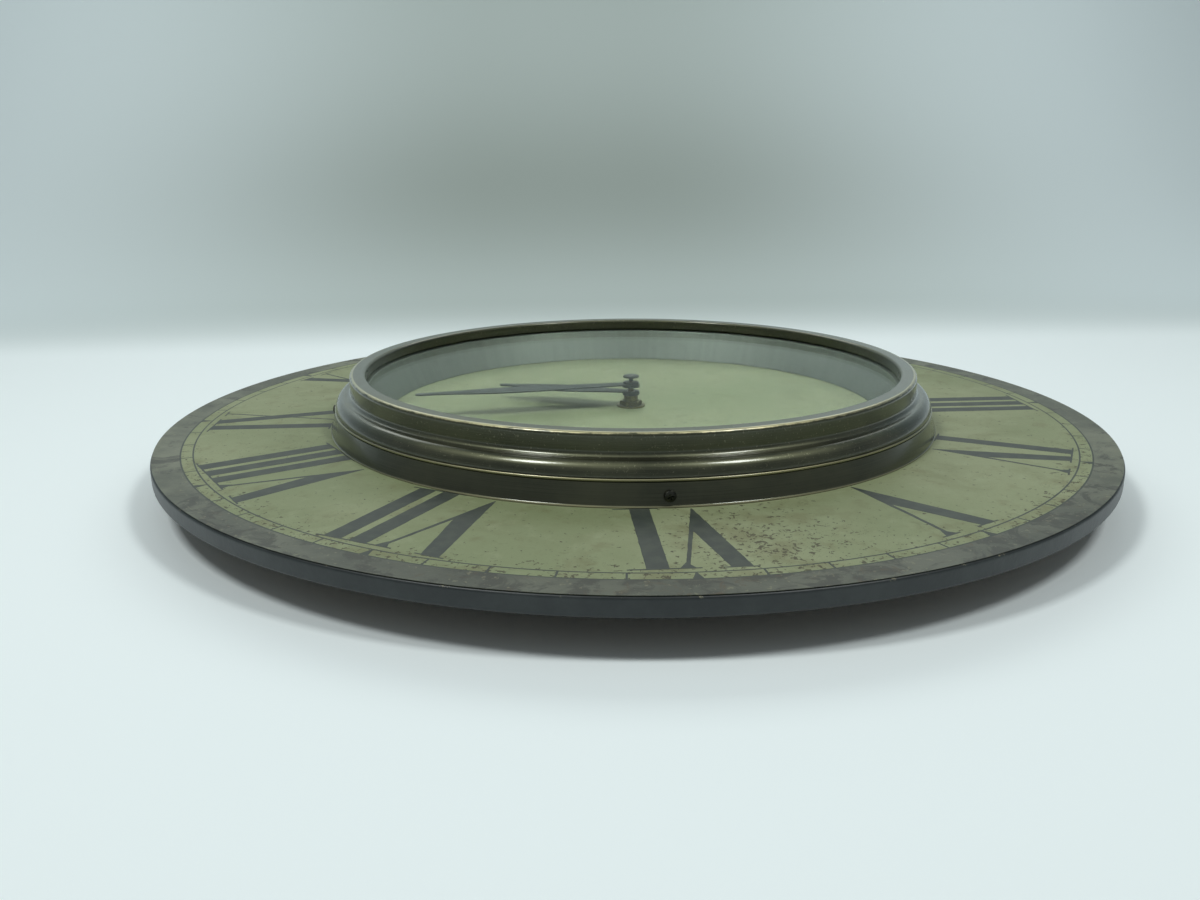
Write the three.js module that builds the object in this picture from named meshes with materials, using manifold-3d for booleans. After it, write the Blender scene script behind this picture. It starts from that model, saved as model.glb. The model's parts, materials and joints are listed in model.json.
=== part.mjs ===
// Gallery wall clock: a 20 inch dial board with a printed chapter ring, and in its middle a
// raised spun-brass bezel with a glass over a smaller dial, two leaf hands and a quartz movement.
//
// Millimetres. The clock lies on its back, face up: +Z leaves the dial, +Y points to 12 o'clock
// and +X to 3 o'clock. The origin is the middle of the plane that touches the wall.
//
// Every size that can be set by itself is named once. What seats on, passes through or lines up
// with another piece takes its place from the same names and a named clearance.

import * as THREE from 'three';
import { mergeVertices } from 'three/addons/utils/BufferGeometryUtils.js';
import Module from 'manifold-3d';

const wasm = await Module();
wasm.setup();

// ---------------------------------------------------------------- driving dimensions

// Dial board and the two printed dials
const dialRadius = 254;
const boardThickness = 8;
const printThickness = 0.4;
const printInset = 0.5;
const innerBoardThickness = 2.2;

// Bezel, a spun shell: skirt, quarter roll, cove, upright neck and a flat lip
const bezelWall = 0.9;
const skirtFootRadius = 166.3;
const skirtTopRadius = 163.3;
const skirtHeight = 11.8;
const rollHeight = 7;
const neckRadius = 155;
const coveRadius = 2.5;
const lipRound = 1.8;
const lipWidth = 8.6;
const innerRound = 1.5;
const glassRecess = 6.1;

// Wooden ring inside the skirt, and the screws that hold the skirt to it
const mountingRingWidth = 7;
const mountingRingDrop = 1.2;
const mountingRingGap = 0.5;
const sideScrewCount = 4;
const sideScrewHeight = 5.1;
const sideScrewLength = 6.5;
const sideScrewRadius = 1.25;
const sideScrewHeadRadius = 2.6;
const sideScrewHeadHeight = 1.7;
const headRimShare = 0.5;
const headCrownShare = 0.9;
const headCrownRadiusShare = 0.7;

// Glass and the conical sight ring under it
const glassThickness = 2;
const glassSideGap = 0.6;
const glassSeatGap = 0.3;
const sightRingWall = 0.8;
const sightRingFootRadius = 137.4;
const sightRingInset = 1.2;
const sightRingFlange = 5;

// Hand stack, from the inner dial forwards
const washerRadius = 8;
const washerThickness = 0.9;
const hexNutAcross = 11;
const hexNutThickness = 2.4;
const bushingProud = 3;
const handGap = 0.4;
const handThickness = 0.6;
const hourCollarRadius = 4.9;
const hourCollarHeight = 1.3;
const minuteCollarRadius = 5;
const minuteCollarHeight = 1.3;
const handSpacing = 4.3;
const minuteNutRadius = 4.4;
const minuteNutThickness = 1;
const capSleeveRadius = 1.2;
const capSleeveHeight = 2.2;
const capRadius = 4.5;
const capThickness = 1.4;
const capEdgeShare = 0.4;
const capCrownShare = 0.8;
const glassClearance = 1;

// Leaf hands
const minuteHandLength = 121;
const minuteHandWidth = 13;
const hourHandLength = 79;
const hourHandWidth = 15.4;
const handRootWidth = 7;
const handTipWidth = 4.6;
const minuteHandAngle = 262.3;
const hourHandAngle = 288.5;
const minuteWidest = 0.55;
const hourWidest = 0.5;

// Where the leaf's curves pull towards, as shares of its widest place and of its length
const leafRootPull = 0.45;
const leafRisePull = 0.6;
const leafFallPull = 1.35;
const leafTipPull = 0.8;

// Nested spindles
const bushingRadius = 4;
const bushingBore = 2.75;
const bushingFlangeRadius = 7;
const bushingFlangeThickness = 1.2;
const hourTubeRadius = 2.5;
const hourTubeBore = 1.85;
const minuteTubeRadius = 1.6;
const minuteTubeBore = 0.75;
const secondsShaftRadius = 0.5;
const pressGap = 0.15;
const boardHoleGap = 0.6;

// Movement case, with its battery bay below the gear space
const batteryRadius = 6.95;
const batteryLength = 50;
const batteryGap = 0.3;
const batteryNubRadius = 2.6;
const batteryNubLength = 1.2;
const caseWall = 1;
const caseWidth = 56;
const caseTop = 19.5;
const bayDivider = -19;
const caseCorner = 2;
const caseSplitGap = 0.3;
const rearClearance = 0.3;
const rubberWasherThickness = 0.6;
const rubberWasherRadius = 11;

// Gear train: module in millimetres, then teeth
const toothAddendum = 0.8;
const toothRootHalf = 0.3;
const wheelThickness = 0.8;
const layerStep = 1.75;
const layerGap = 0.3;
const endShake = 0.3;
const arborRadius = 0.55;
const bossRadius = 1.5;
const bossHeight = 0.9;
const pivotGap = 0.2;
const clutchHubWall = 1;
const motionModule = 0.46;
const cannonTeeth = 12;
const motionWheelTeeth = 36;
const motionPinionTeeth = 10;
const hourWheelTeeth = 40;
const thirdModule = 0.3;
const secondsPinionTeeth = 8;
const thirdWheelTeeth = 60;
const thirdPinionTeeth = 8;
const centreWheelTeeth = 64;
const secondsModule = 0.36;
const secondsWheelTeeth = 48;
const fifthPinionTeeth = 8;
const rotorModule = 0.3;
const fifthWheelTeeth = 40;
const rotorPinionTeeth = 8;
const motionAxisAngle = 30;
const thirdAxisAngle = 135;
const fifthAxisAngle = 200;
const rotorAxisAngle = 215;

// Step motor, board and contacts
const rotorMagnetRadius = 3;
const rotorMagnetHeight = 3;
const rotorAirGap = 0.6;
const statorThickness = 0.9;
const statorMargin = 1.3;
const coilRadius = 3;
const coilLength = 19;
const coilCoreWidth = 2.4;
const coilFlange = 1;
const coilSpoolRadius = 1.9;
const coilWindingGap = 0.2;
const coilBayGap = 0.8;
const coilCoreOverhang = 2;
const motorSpacing = 1;
const circuitLength = 20;
const circuitWidth = 9;
const circuitThickness = 1;
const chipRadius = 2.6;
const chipHeight = 0.7;
const chipSink = 0.5;
const circuitInset = 1;
const circuitTopGap = 0.4;
const circuitBayGap = 0.6;
const contactThickness = 0.4;
const contactWidth = 9;
const knobRadius = 6;
const knobHeight = 2;
const knobFlutes = 14;
const knobFluteRadius = 0.6;

// Hanger, wooden blocks and felt pads behind the board
const topBlockLength = 132;
const topBlockWidth = 34;
const topBlockInset = 62;
const lowBlockSide = 34;
const lowBlockRadius = 176;
const lowBlockAngle = 38;
const feltThickness = 1;
const feltRadius = 11;
const plateLength = 56;
const plateWidth = 24;
const plateThickness = 1.2;
const keyholeHeadRadius = 5;
const keyholeSlotRadius = 2.7;
const keyholeRise = 9;
const pocketMargin = 3;
const plateScrewRadius = 1.5;
const plateScrewHeadRadius = 3;
const plateScrewLength = 9;
const screwHoleGap = 0.3;
const plateScrewInset = 6;
const plateHeadRise = 0.3;
const plateHeadRim = 0.1;
const screwPointLength = 2;
const feltInset = 3;

// Facets round the large rings, the battery, the coil and the small turned pieces
const ringFacets = 60;
const batteryFacets = 28;
const coilFacets = 20;
const turnedFacets = 16;
const arborFacets = 10;
const fluteFacets = 8;

// Steps along an arc, a lip, the roll and a hand's curve
const arcSteps = 3;
const lipSteps = 2;
const rollSteps = 4;
const curveSteps = 6;

// ---------------------------------------------------------------- levels along Z

const trainLayers = 6;
const trainDepth = trainLayers * layerStep + bossHeight * 2 + endShake * 2;
const caseDepth = Math.max(2 * batteryRadius + 2 * batteryGap, trainDepth + caseWall) + caseWall;
const caseRear = rearClearance;
const caseFront = caseRear + caseDepth;
const boardBack = caseFront + rubberWasherThickness;
const boardTop = boardBack + boardThickness;
const dialTop = boardTop + printThickness;
const innerBoardTop = dialTop + innerBoardThickness;
const innerDialTop = innerBoardTop + printThickness;
const washerTop = innerDialTop + washerThickness;
const hexNutTop = washerTop + hexNutThickness;
const bushingTop = hexNutTop + bushingProud;
const hourHandBase = bushingTop + handGap;
const hourHandTop = hourHandBase + hourCollarHeight + handThickness;
const minuteHandBase = hourHandTop + handSpacing - minuteCollarHeight - handThickness;
const minuteHandTop = minuteHandBase + minuteCollarHeight + handThickness;
const minuteNutTop = minuteHandTop + minuteNutThickness;
const capBase = minuteNutTop + handGap;
const capTop = capBase + capSleeveHeight + capThickness;
const glassBottom = capTop + glassClearance;
const glassTop = glassBottom + glassThickness;
const lipTop = glassTop + glassRecess;

// Gear layers, counted from the rear wall of the case
const layer = (index) => caseRear + caseWall + bossHeight + endShake + index * layerStep;
const secondsLayer = layer(0);
const thirdLayer = layer(1);
const fifthLayer = layer(2);
const centreLayer = layer(3);
const motionLayer = layer(4);
const hourLayer = layer(5);
const trainRear = caseRear + caseWall;
const trainFront = caseFront - caseWall;

// ---------------------------------------------------------------- places in the plane

const openingRadius = neckRadius - lipWidth;
const ringOuterRadius = skirtTopRadius - bezelWall - mountingRingGap;
const ringInnerRadius = ringOuterRadius - mountingRingWidth;
const innerDialRadius = ringInnerRadius - mountingRingGap;
const glassRadius = neckRadius - bezelWall - glassSideGap;

const polar = (radius, degrees, from = [0, 0]) => {
  const angle = THREE.MathUtils.degToRad(degrees);
  return [from[0] + radius * Math.cos(angle), from[1] + radius * Math.sin(angle)];
};
const centreDistance = (module, first, second) => module * (first + second) / 2;

const motionDistance = centreDistance(motionModule, cannonTeeth, motionWheelTeeth);
const thirdDistance = centreDistance(thirdModule, secondsPinionTeeth, thirdWheelTeeth);
const fifthDistance = centreDistance(secondsModule, secondsWheelTeeth, fifthPinionTeeth);
const rotorDistance = centreDistance(rotorModule, fifthWheelTeeth, rotorPinionTeeth);
const hourModule = 2 * motionDistance / (motionPinionTeeth + hourWheelTeeth);
const centreModule = 2 * thirdDistance / (thirdPinionTeeth + centreWheelTeeth);

const centreAxis = [0, 0];
const motionAxis = polar(motionDistance, motionAxisAngle);
const thirdAxis = polar(thirdDistance, thirdAxisAngle);
const fifthAxis = polar(fifthDistance, fifthAxisAngle);
const rotorAxis = polar(rotorDistance, rotorAxisAngle, fifthAxis);

const bayHeight = 2 * batteryRadius + 2 * batteryGap;
const caseBottom = bayDivider - bayHeight - 2 * caseWall;
const batteryLevel = caseRear + batteryGap + batteryRadius;
const batteryCentre = [0, bayDivider - caseWall - batteryGap - batteryRadius];

// ---------------------------------------------------------------- materials

const finish = (color, roughness, metalness) =>
  () => new THREE.MeshStandardMaterial({ color, roughness, metalness });

const fibreboard = finish(0x4a3c2e, 0.85, 0);
const parchment = finish(0xb3b28c, 0.75, 0);
const agedBrass = finish(0x5c5a3e, 0.4, 0.9);
const brightBrass = finish(0xa08a52, 0.35, 1);
const greySteel = finish(0x8d9089, 0.4, 0.9);
const darkSteel = finish(0x33373a, 0.5, 0.8);
const wood = finish(0x8b7353, 0.8, 0);
const felt = finish(0x2e3a30, 0.95, 0);
const rubber = finish(0x1d1d1d, 0.9, 0);
const blackPlastic = finish(0x1b1c1e, 0.5, 0);
const whitePlastic = finish(0xe4e2da, 0.45, 0);
const copper = finish(0xb0673a, 0.4, 0.8);
const circuitGreen = finish(0x2d5a3a, 0.6, 0);
const batteryCan = finish(0x7b8187, 0.35, 0.7);

const clearGlass = () => new THREE.MeshStandardMaterial({
  color: 0xdfe8e4,
  roughness: 0.05,
  metalness: 0,
  transparent: true,
  opacity: 0.25,
});

// ---------------------------------------------------------------- shape helpers

const group = new THREE.Group();

function add(name, geometry, material) {
  const mesh = new THREE.Mesh(geometry, material());
  mesh.name = name;
  group.add(mesh);
}

const point = (x, y) => new THREE.Vector2(x, y);

// Points on an arc, with angles in degrees
function arc(x, y, radius, from, to, steps = arcSteps) {
  return Array.from({ length: steps + 1 }, (_, i) => {
    const [px, py] = polar(radius, from + (to - from) * i / steps, [x, y]);
    return point(px, py);
  });
}

// Turned about Z. A profile that leaves the axis alone is closed on itself.
function turned(profile, facets = turnedFacets) {
  const onAxis = profile[0].x === 0;
  const outline = onAxis ? profile : [...profile, profile[0]];
  return new THREE.LatheGeometry(outline, facets).rotateX(Math.PI / 2);
}

function disc(radius, low, high, facets = turnedFacets) {
  return turned([point(0, low), point(radius, low), point(radius, high), point(0, high)], facets);
}

function tube(bore, radius, low, high, facets = turnedFacets) {
  const profile = [point(bore, low), point(radius, low), point(radius, high), point(bore, high)];
  return turned(profile, facets);
}

function extruded(shape, low, high, curveSegments = curveSteps) {
  const options = { depth: high - low, bevelEnabled: false, curveSegments };
  return new THREE.ExtrudeGeometry(shape, options).translate(0, 0, low);
}

function block(x0, y0, x1, y1, low, high) {
  const shape = new THREE.Shape([point(x0, y0), point(x1, y0), point(x1, y1), point(x0, y1)]);
  return extruded(shape, low, high);
}

function roundedBlock(x0, y0, x1, y1, corner, low, high) {
  const outline = [
    ...arc(x1 - corner, y0 + corner, corner, -90, 0),
    ...arc(x1 - corner, y1 - corner, corner, 0, 90),
    ...arc(x0 + corner, y1 - corner, corner, 90, 180),
    ...arc(x0 + corner, y0 + corner, corner, 180, 270),
  ];
  return extruded(new THREE.Shape(outline), low, high);
}

const moved = (geometry, [x, y]) => geometry.translate(x, y, 0);

function solid(geometry) {
  const bare = geometry.clone();
  bare.deleteAttribute('normal');
  bare.deleteAttribute('uv');
  const merged = mergeVertices(bare);
  const mesh = new wasm.Mesh({
    numProp: 3,
    vertProperties: new Float32Array(merged.attributes.position.array),
    triVerts: new Uint32Array(merged.index.array),
  });
  return new wasm.Manifold(mesh);
}

function surface(body) {
  const mesh = body.getMesh();
  const geometry = new THREE.BufferGeometry();
  geometry.setAttribute('position', new THREE.BufferAttribute(mesh.vertProperties, 3));
  geometry.setIndex(new THREE.BufferAttribute(mesh.triVerts, 1));
  geometry.computeVertexNormals();
  return geometry;
}

const joined = (...pieces) => surface(pieces.map(solid).reduce((all, next) => all.add(next)));
const cut = (piece, ...tools) =>
  surface(tools.map(solid).reduce((rest, tool) => rest.subtract(tool), solid(piece)));

// ---------------------------------------------------------------- dial boards and prints

const boardHole = bushingRadius + boardHoleGap;

function addDials() {
  add('dial_board', tube(boardHole, dialRadius, boardBack, boardTop, ringFacets), fibreboard);
  add('outer_dial_print',
    tube(boardHole, dialRadius - printInset, boardTop, dialTop, ringFacets), parchment);
  add('inner_dial_board',
    tube(boardHole, innerDialRadius, dialTop, innerBoardTop, ringFacets), fibreboard);
  add('inner_dial_print',
    tube(boardHole, innerDialRadius - printInset, innerBoardTop, innerDialTop, ringFacets),
    parchment);
}

// ---------------------------------------------------------------- bezel

// One face of the bezel shell, from the foot to the glass, set inwards by the given depth
function bezelFace(depth) {
  const rollLevel = dialTop + skirtHeight;
  const rollCentre = neckRadius + coveRadius;
  const rollWidth = skirtTopRadius - rollCentre;
  const coveLevel = rollLevel + rollHeight + coveRadius;
  const roll = arc(0, 0, 1, 0, 90, rollSteps).map(({ x, y }) =>
    point(rollCentre + x * (rollWidth - depth), rollLevel + y * (rollHeight - depth)));
  return [
    point(skirtFootRadius - depth, dialTop),
    ...roll,
    ...arc(rollCentre, coveLevel, coveRadius + depth, 270, 180, lipSteps).slice(1),
    ...arc(neckRadius - lipRound, lipTop - lipRound, lipRound - depth, 0, 90, lipSteps),
    ...arc(openingRadius + innerRound, lipTop - innerRound, innerRound - depth, 90, 180, lipSteps),
    point(openingRadius + depth, glassTop + glassSeatGap),
  ];
}

// A cylinder along +X, for cutting or for a screw, turned to its place round the dial
function radial(geometry, degrees, level) {
  return geometry
    .rotateY(Math.PI / 2)
    .translate(0, 0, level)
    .rotateZ(THREE.MathUtils.degToRad(degrees));
}

const sideScrewAngles = Array.from({ length: sideScrewCount }, (_, i) => i * 360 / sideScrewCount);
const sideScrewLevel = dialTop + sideScrewHeight;
const sideScrewHour = (degrees) => ((15 - degrees / 30 - 1) % 12) + 1;
const sideScrewHoles = () => sideScrewAngles.map((degrees) => radial(
  disc(sideScrewRadius + screwHoleGap, ringInnerRadius - 1, skirtFootRadius + 1),
  degrees, sideScrewLevel));

function addBezel() {
  const shell = turned([...bezelFace(0).reverse(), ...bezelFace(bezelWall)].reverse(), ringFacets);
  add('bezel_shell', cut(shell, ...sideScrewHoles()), agedBrass);

  const ringTop = dialTop + skirtHeight - mountingRingDrop;
  const ring = tube(ringInnerRadius, ringOuterRadius, dialTop, ringTop, ringFacets);
  add('bezel_mounting_ring', cut(ring, ...sideScrewHoles()), wood);

  // The head rests on the leaning skirt with its lowest edge
  const seatHeight = sideScrewHeight - sideScrewHeadRadius;
  const lean = (skirtFootRadius - skirtTopRadius) / skirtHeight;
  const seat = skirtFootRadius - lean * seatHeight + pressGap;
  const screw = [
    point(0, seat - sideScrewLength),
    point(sideScrewRadius, seat - sideScrewLength),
    point(sideScrewRadius, seat),
    point(sideScrewHeadRadius, seat),
    point(sideScrewHeadRadius, seat + sideScrewHeadHeight * headRimShare),
    point(sideScrewHeadRadius * headCrownRadiusShare,
      seat + sideScrewHeadHeight * headCrownShare),
    point(0, seat + sideScrewHeadHeight),
  ];
  for (const degrees of sideScrewAngles) {
    const name = `bezel_screw_${sideScrewHour(degrees)}_oclock`;
    add(name, radial(turned(screw), degrees, sideScrewLevel), darkSteel);
  }
}

function addGlass() {
  add('glass', disc(glassRadius, glassBottom, glassTop, ringFacets), clearGlass);

  const rimRadius = openingRadius - sightRingInset;
  const flangeTop = glassBottom - glassSeatGap;
  const flangeBase = flangeTop - sightRingWall;
  const foot = innerDialTop + glassSeatGap;
  add('sight_ring', turned([
    point(sightRingFootRadius, foot),
    point(sightRingFootRadius + sightRingWall, foot),
    point(rimRadius + sightRingWall, flangeBase),
    point(rimRadius + sightRingFlange, flangeBase),
    point(rimRadius + sightRingFlange, flangeTop),
    point(rimRadius, flangeTop),
  ], ringFacets), greySteel);
}

// ---------------------------------------------------------------- hands and their fittings

// A leaf hand along +X: a hub disc, a narrow root, its widest point, and a blunt tip
function handBlade(hubRadius, length, width, widest, low) {
  const root = handRootWidth / 2;
  const belly = width / 2;
  const tip = handTipWidth / 2;
  const bellyAt = length * widest;
  const rootPull = bellyAt * leafRootPull;
  const risePull = bellyAt * leafRisePull;
  const fallPull = bellyAt * leafFallPull;
  const tipPull = length * leafTipPull;
  const shape = new THREE.Shape();
  shape.moveTo(0, -root);
  shape.bezierCurveTo(rootPull, -root, risePull, -belly, bellyAt, -belly);
  shape.bezierCurveTo(fallPull, -belly, tipPull, -tip, length - tip, -tip);
  shape.absarc(length - tip, 0, tip, -Math.PI / 2, Math.PI / 2, false);
  shape.bezierCurveTo(tipPull, tip, fallPull, belly, bellyAt, belly);
  shape.bezierCurveTo(risePull, belly, rootPull, root, 0, root);
  const blade = extruded(shape, low, low + handThickness, curveSteps);
  return [blade, disc(hubRadius, low, low + handThickness)];
}

function hand(collarRadius, collarHeight, bore, length, width, widest, base, clockAngle) {
  const bladeBase = base + collarHeight;
  const collar = disc(collarRadius, base, bladeBase);
  const pieces = handBlade(collarRadius, length, width, widest, bladeBase);
  const hole = disc(bore, base - 1, bladeBase + handThickness + 1);
  const made = cut(joined(collar, ...pieces), hole);
  return made.rotateZ(THREE.MathUtils.degToRad(90 - clockAngle));
}

function addHands() {
  const washerBore = bushingRadius + screwHoleGap;
  add('dial_washer', tube(washerBore, washerRadius, innerDialTop, washerTop), brightBrass);
  const hexagon = disc(hexNutAcross / Math.sqrt(3), washerTop, hexNutTop, 6);
  add('dial_nut', cut(hexagon, disc(washerBore, washerTop - 1, hexNutTop + 1)), brightBrass);

  add('hour_hand', hand(hourCollarRadius, hourCollarHeight, hourTubeRadius + pressGap,
    hourHandLength, hourHandWidth, hourWidest, hourHandBase, hourHandAngle), darkSteel);
  add('minute_hand', hand(minuteCollarRadius, minuteCollarHeight, minuteTubeRadius + pressGap,
    minuteHandLength, minuteHandWidth, minuteWidest, minuteHandBase, minuteHandAngle), darkSteel);
  add('minute_nut',
    tube(minuteTubeRadius + pressGap, minuteNutRadius, minuteHandTop, minuteNutTop), darkSteel);

  const shaftBore = secondsShaftRadius + pressGap;
  const sleeveTop = capBase + capSleeveHeight;
  add('seconds_cap', turned([
    point(0, sleeveTop),
    point(shaftBore, sleeveTop),
    point(shaftBore, capBase),
    point(capSleeveRadius, capBase),
    point(capSleeveRadius, sleeveTop),
    point(capRadius, sleeveTop),
    point(capRadius, capTop - capThickness * capEdgeShare),
    point(capRadius * capCrownShare, capTop),
    point(0, capTop),
  ]), darkSteel);
}

// ---------------------------------------------------------------- gears

// Pointed teeth, thin enough and short enough to run with a little play
function gear(teeth, module, phase, low, high) {
  const pitchRadius = teeth * module / 2;
  const tip = pitchRadius + toothAddendum * module;
  const root = pitchRadius - module;
  const step = 360 / teeth;
  const outline = [];
  for (let i = 0; i < teeth; i++) {
    const middle = phase + i * step;
    outline.push(polar(root, middle - toothRootHalf * step), polar(tip, middle));
    outline.push(polar(root, middle + toothRootHalf * step));
  }
  return extruded(new THREE.Shape(outline.map(([x, y]) => point(x, y))), low, high);
}

// The phase that puts a wheel's gap on the driver's tooth, in the direction of the wheel
function meshPhase(driverTeeth, wheelTeeth, direction, driverPhase = 0) {
  return direction + 180 - (driverPhase - direction) * driverTeeth / wheelTeeth - 180 / wheelTeeth;
}

const thirdPhase = meshPhase(secondsPinionTeeth, thirdWheelTeeth, thirdAxisAngle);
const centrePhase = meshPhase(thirdPinionTeeth, centreWheelTeeth, thirdAxisAngle + 180);
const fifthPhase = meshPhase(secondsWheelTeeth, fifthPinionTeeth, fifthAxisAngle);
const rotorPhase = meshPhase(fifthWheelTeeth, rotorPinionTeeth, rotorAxisAngle);
const motionPhase = meshPhase(cannonTeeth, motionWheelTeeth, motionAxisAngle);
const hourPhase = meshPhase(motionPinionTeeth, hourWheelTeeth, motionAxisAngle + 180);

const arborRear = trainRear + endShake;
const arborFront = trainFront - endShake;

function addTrain() {
  // Seconds wheel, whose long shaft carries the cap in front of the hands
  add('seconds_wheel', joined(
    gear(secondsWheelTeeth, secondsModule, 0, secondsLayer, secondsLayer + wheelThickness),
    gear(secondsPinionTeeth, thirdModule, 0, secondsLayer, thirdLayer + wheelThickness),
    disc(secondsShaftRadius, arborRear, capBase + capSleeveHeight - handGap, arborFacets),
  ), brightBrass);

  add('third_wheel', moved(joined(
    gear(thirdWheelTeeth, thirdModule, thirdPhase, thirdLayer, thirdLayer + wheelThickness),
    gear(thirdPinionTeeth, centreModule, 0, thirdLayer, centreLayer + wheelThickness),
    disc(arborRadius, arborRear, arborFront, arborFacets),
  ), thirdAxis), brightBrass);

  // Centre wheel, a friction fit on the minute spindle
  const hubTop = motionLayer - layerGap;
  const hub = disc(minuteTubeRadius + clutchHubWall, centreLayer, hubTop);
  const wheel = gear(centreWheelTeeth, centreModule, centrePhase, centreLayer,
    centreLayer + wheelThickness);
  const clutchBore = disc(minuteTubeRadius + pressGap, centreLayer - 1, hubTop + 1);
  add('centre_wheel', cut(joined(wheel, hub), clutchBore), brightBrass);

  add('intermediate_wheel', moved(joined(
    gear(fifthPinionTeeth, secondsModule, fifthPhase, secondsLayer, fifthLayer),
    gear(fifthWheelTeeth, rotorModule, 0, fifthLayer, fifthLayer + wheelThickness),
    disc(arborRadius, arborRear, arborFront, arborFacets),
  ), fifthAxis), whitePlastic);

  const magnetBase = centreLayer;
  add('rotor', moved(joined(
    gear(rotorPinionTeeth, rotorModule, rotorPhase, fifthLayer - layerGap, magnetBase),
    disc(rotorMagnetRadius, magnetBase, magnetBase + rotorMagnetHeight),
    disc(arborRadius, arborRear, arborFront, arborFacets),
  ), rotorAxis), darkSteel);
}

function addMotionWork() {
  // Minute spindle with its cannon pinion, hollow for the seconds shaft
  add('minute_spindle', cut(joined(
    gear(cannonTeeth, motionModule, 0, motionLayer, motionLayer + wheelThickness),
    disc(minuteTubeRadius, centreLayer - layerGap, minuteNutTop),
  ), disc(minuteTubeBore, centreLayer - 2, minuteNutTop + 1)), brightBrass);

  // Hour wheel on its tube
  const hourWheel = gear(hourWheelTeeth, hourModule, hourPhase, hourLayer,
    hourLayer + wheelThickness);
  const hourTube = disc(hourTubeRadius, hourLayer, hourHandTop);
  add('hour_wheel', cut(joined(hourWheel, hourTube),
    disc(hourTubeBore, hourLayer - 1, hourHandTop + 1)), whitePlastic);

  // Motion wheel and its pinion, on the arbor that the setting knob turns
  add('motion_wheel', moved(joined(
    gear(motionWheelTeeth, motionModule, motionPhase, motionLayer, motionLayer + wheelThickness),
    gear(motionPinionTeeth, hourModule, 0, motionLayer, hourLayer + wheelThickness),
    disc(arborRadius, caseRear + knobHeight, arborFront, arborFacets),
  ), motionAxis), whitePlastic);

  const knobBody = disc(knobRadius, caseRear, caseRear + knobHeight - pressGap);
  const flutes = Array.from({ length: knobFlutes }, (_, i) =>
    moved(disc(knobFluteRadius, caseRear - 1, caseRear + knobHeight, fluteFacets),
      polar(knobRadius, i * 360 / knobFlutes)));
  add('setting_knob', moved(cut(knobBody, ...flutes), motionAxis), whitePlastic);
}

// ---------------------------------------------------------------- step motor and electrics

const motorLevel = centreLayer + (rotorMagnetHeight - statorThickness) / 2;
const coilLevel = motorLevel + statorThickness / 2;
const rotorHoleRadius = rotorMagnetRadius + rotorAirGap;
const statorRight = rotorAxis[0] + rotorHoleRadius + statorMargin;
const coilLeft = statorRight + motorSpacing;
const coilY = bayDivider + caseWall + coilRadius + coilBayGap;

function addMotor() {
  const reach = rotorHoleRadius + statorMargin;
  const statorPlate = block(rotorAxis[0] - reach, coilY - coilCoreWidth / 2, statorRight,
    rotorAxis[1] + reach, motorLevel, motorLevel + statorThickness);
  const rotorHole = moved(disc(rotorHoleRadius, motorLevel - 1,
    motorLevel + statorThickness + 1), rotorAxis);
  add('stator', cut(statorPlate, rotorHole), greySteel);

  const half = coilCoreWidth / 2;
  const coreRight = coilLeft + coilLength + coilCoreOverhang;
  add('coil_core', block(statorRight + pressGap, coilY - half, coreRight, coilY + half,
    motorLevel, motorLevel + statorThickness), greySteel);

  const along = (geometry) => geometry.rotateY(Math.PI / 2).translate(coilLeft, coilY, coilLevel);
  const spool = turned([
    point(0, 0),
    point(coilRadius, 0),
    point(coilRadius, coilFlange),
    point(coilSpoolRadius, coilFlange),
    point(coilSpoolRadius, coilLength - coilFlange),
    point(coilRadius, coilLength - coilFlange),
    point(coilRadius, coilLength),
    point(0, coilLength),
  ], coilFacets);
  const coreSlot = block(coilLeft - 1, coilY - half - pressGap, coreRight, coilY + half + pressGap,
    motorLevel - pressGap, motorLevel + statorThickness + pressGap);
  add('coil_bobbin', cut(along(spool), coreSlot), whitePlastic);
  const windingInset = coilFlange + coilWindingGap;
  const winding = tube(coilSpoolRadius + pressGap, coilRadius - coilWindingGap, windingInset,
    coilLength - windingInset, coilFacets);
  add('coil_winding', along(winding), copper);
}

function addElectrics() {
  const top = trainFront - circuitTopGap;
  const right = caseWidth / 2 - caseWall - circuitInset;
  const y0 = bayDivider + caseWall + circuitBayGap;
  const plate = block(right - circuitLength, y0, right, y0 + circuitWidth,
    top - circuitThickness, top);
  const chip = moved(disc(chipRadius, top - circuitThickness - chipHeight, top - chipSink),
    [right - circuitLength / 3, y0 + circuitWidth / 2]);
  add('circuit_board', joined(plate, chip), circuitGreen);

  const [bx, by] = batteryCentre;
  const half = batteryLength / 2;
  const can = turned([
    point(0, -half),
    point(batteryRadius, -half),
    point(batteryRadius, half - batteryNubLength),
    point(batteryNubRadius, half - batteryNubLength),
    point(batteryNubRadius, half),
    point(0, half),
  ], batteryFacets);
  add('battery', can.rotateY(Math.PI / 2).translate(bx, by, batteryLevel), batteryCan);

  const contactHalf = contactWidth / 2;
  for (const [side, name] of [[1, 'battery_contact_positive'], [-1, 'battery_contact_negative']]) {
    const inner = side * (half + batteryGap);
    const outer = inner + side * contactThickness;
    add(name, block(Math.min(inner, outer), by - contactHalf, Math.max(inner, outer),
      by + contactHalf, batteryLevel - contactHalf, batteryLevel + contactHalf), greySteel);
  }
}

// ---------------------------------------------------------------- movement case

const caseLeft = -caseWidth / 2;
const caseRight = caseWidth / 2;
const caseSplit = caseRear + caseDepth / 2;

const pocket = (x0, y0, x1, y1, low, high) => roundedBlock(x0, y0, x1, y1, 1, low, high);

function gearSpace(low, high) {
  return pocket(caseLeft + caseWall, bayDivider + caseWall / 2, caseRight - caseWall,
    caseTop - caseWall, low, high);
}

function batteryBay(low, high) {
  return pocket(caseLeft + caseWall, caseBottom + caseWall, caseRight - caseWall,
    bayDivider - caseWall / 2, low, high);
}

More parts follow.
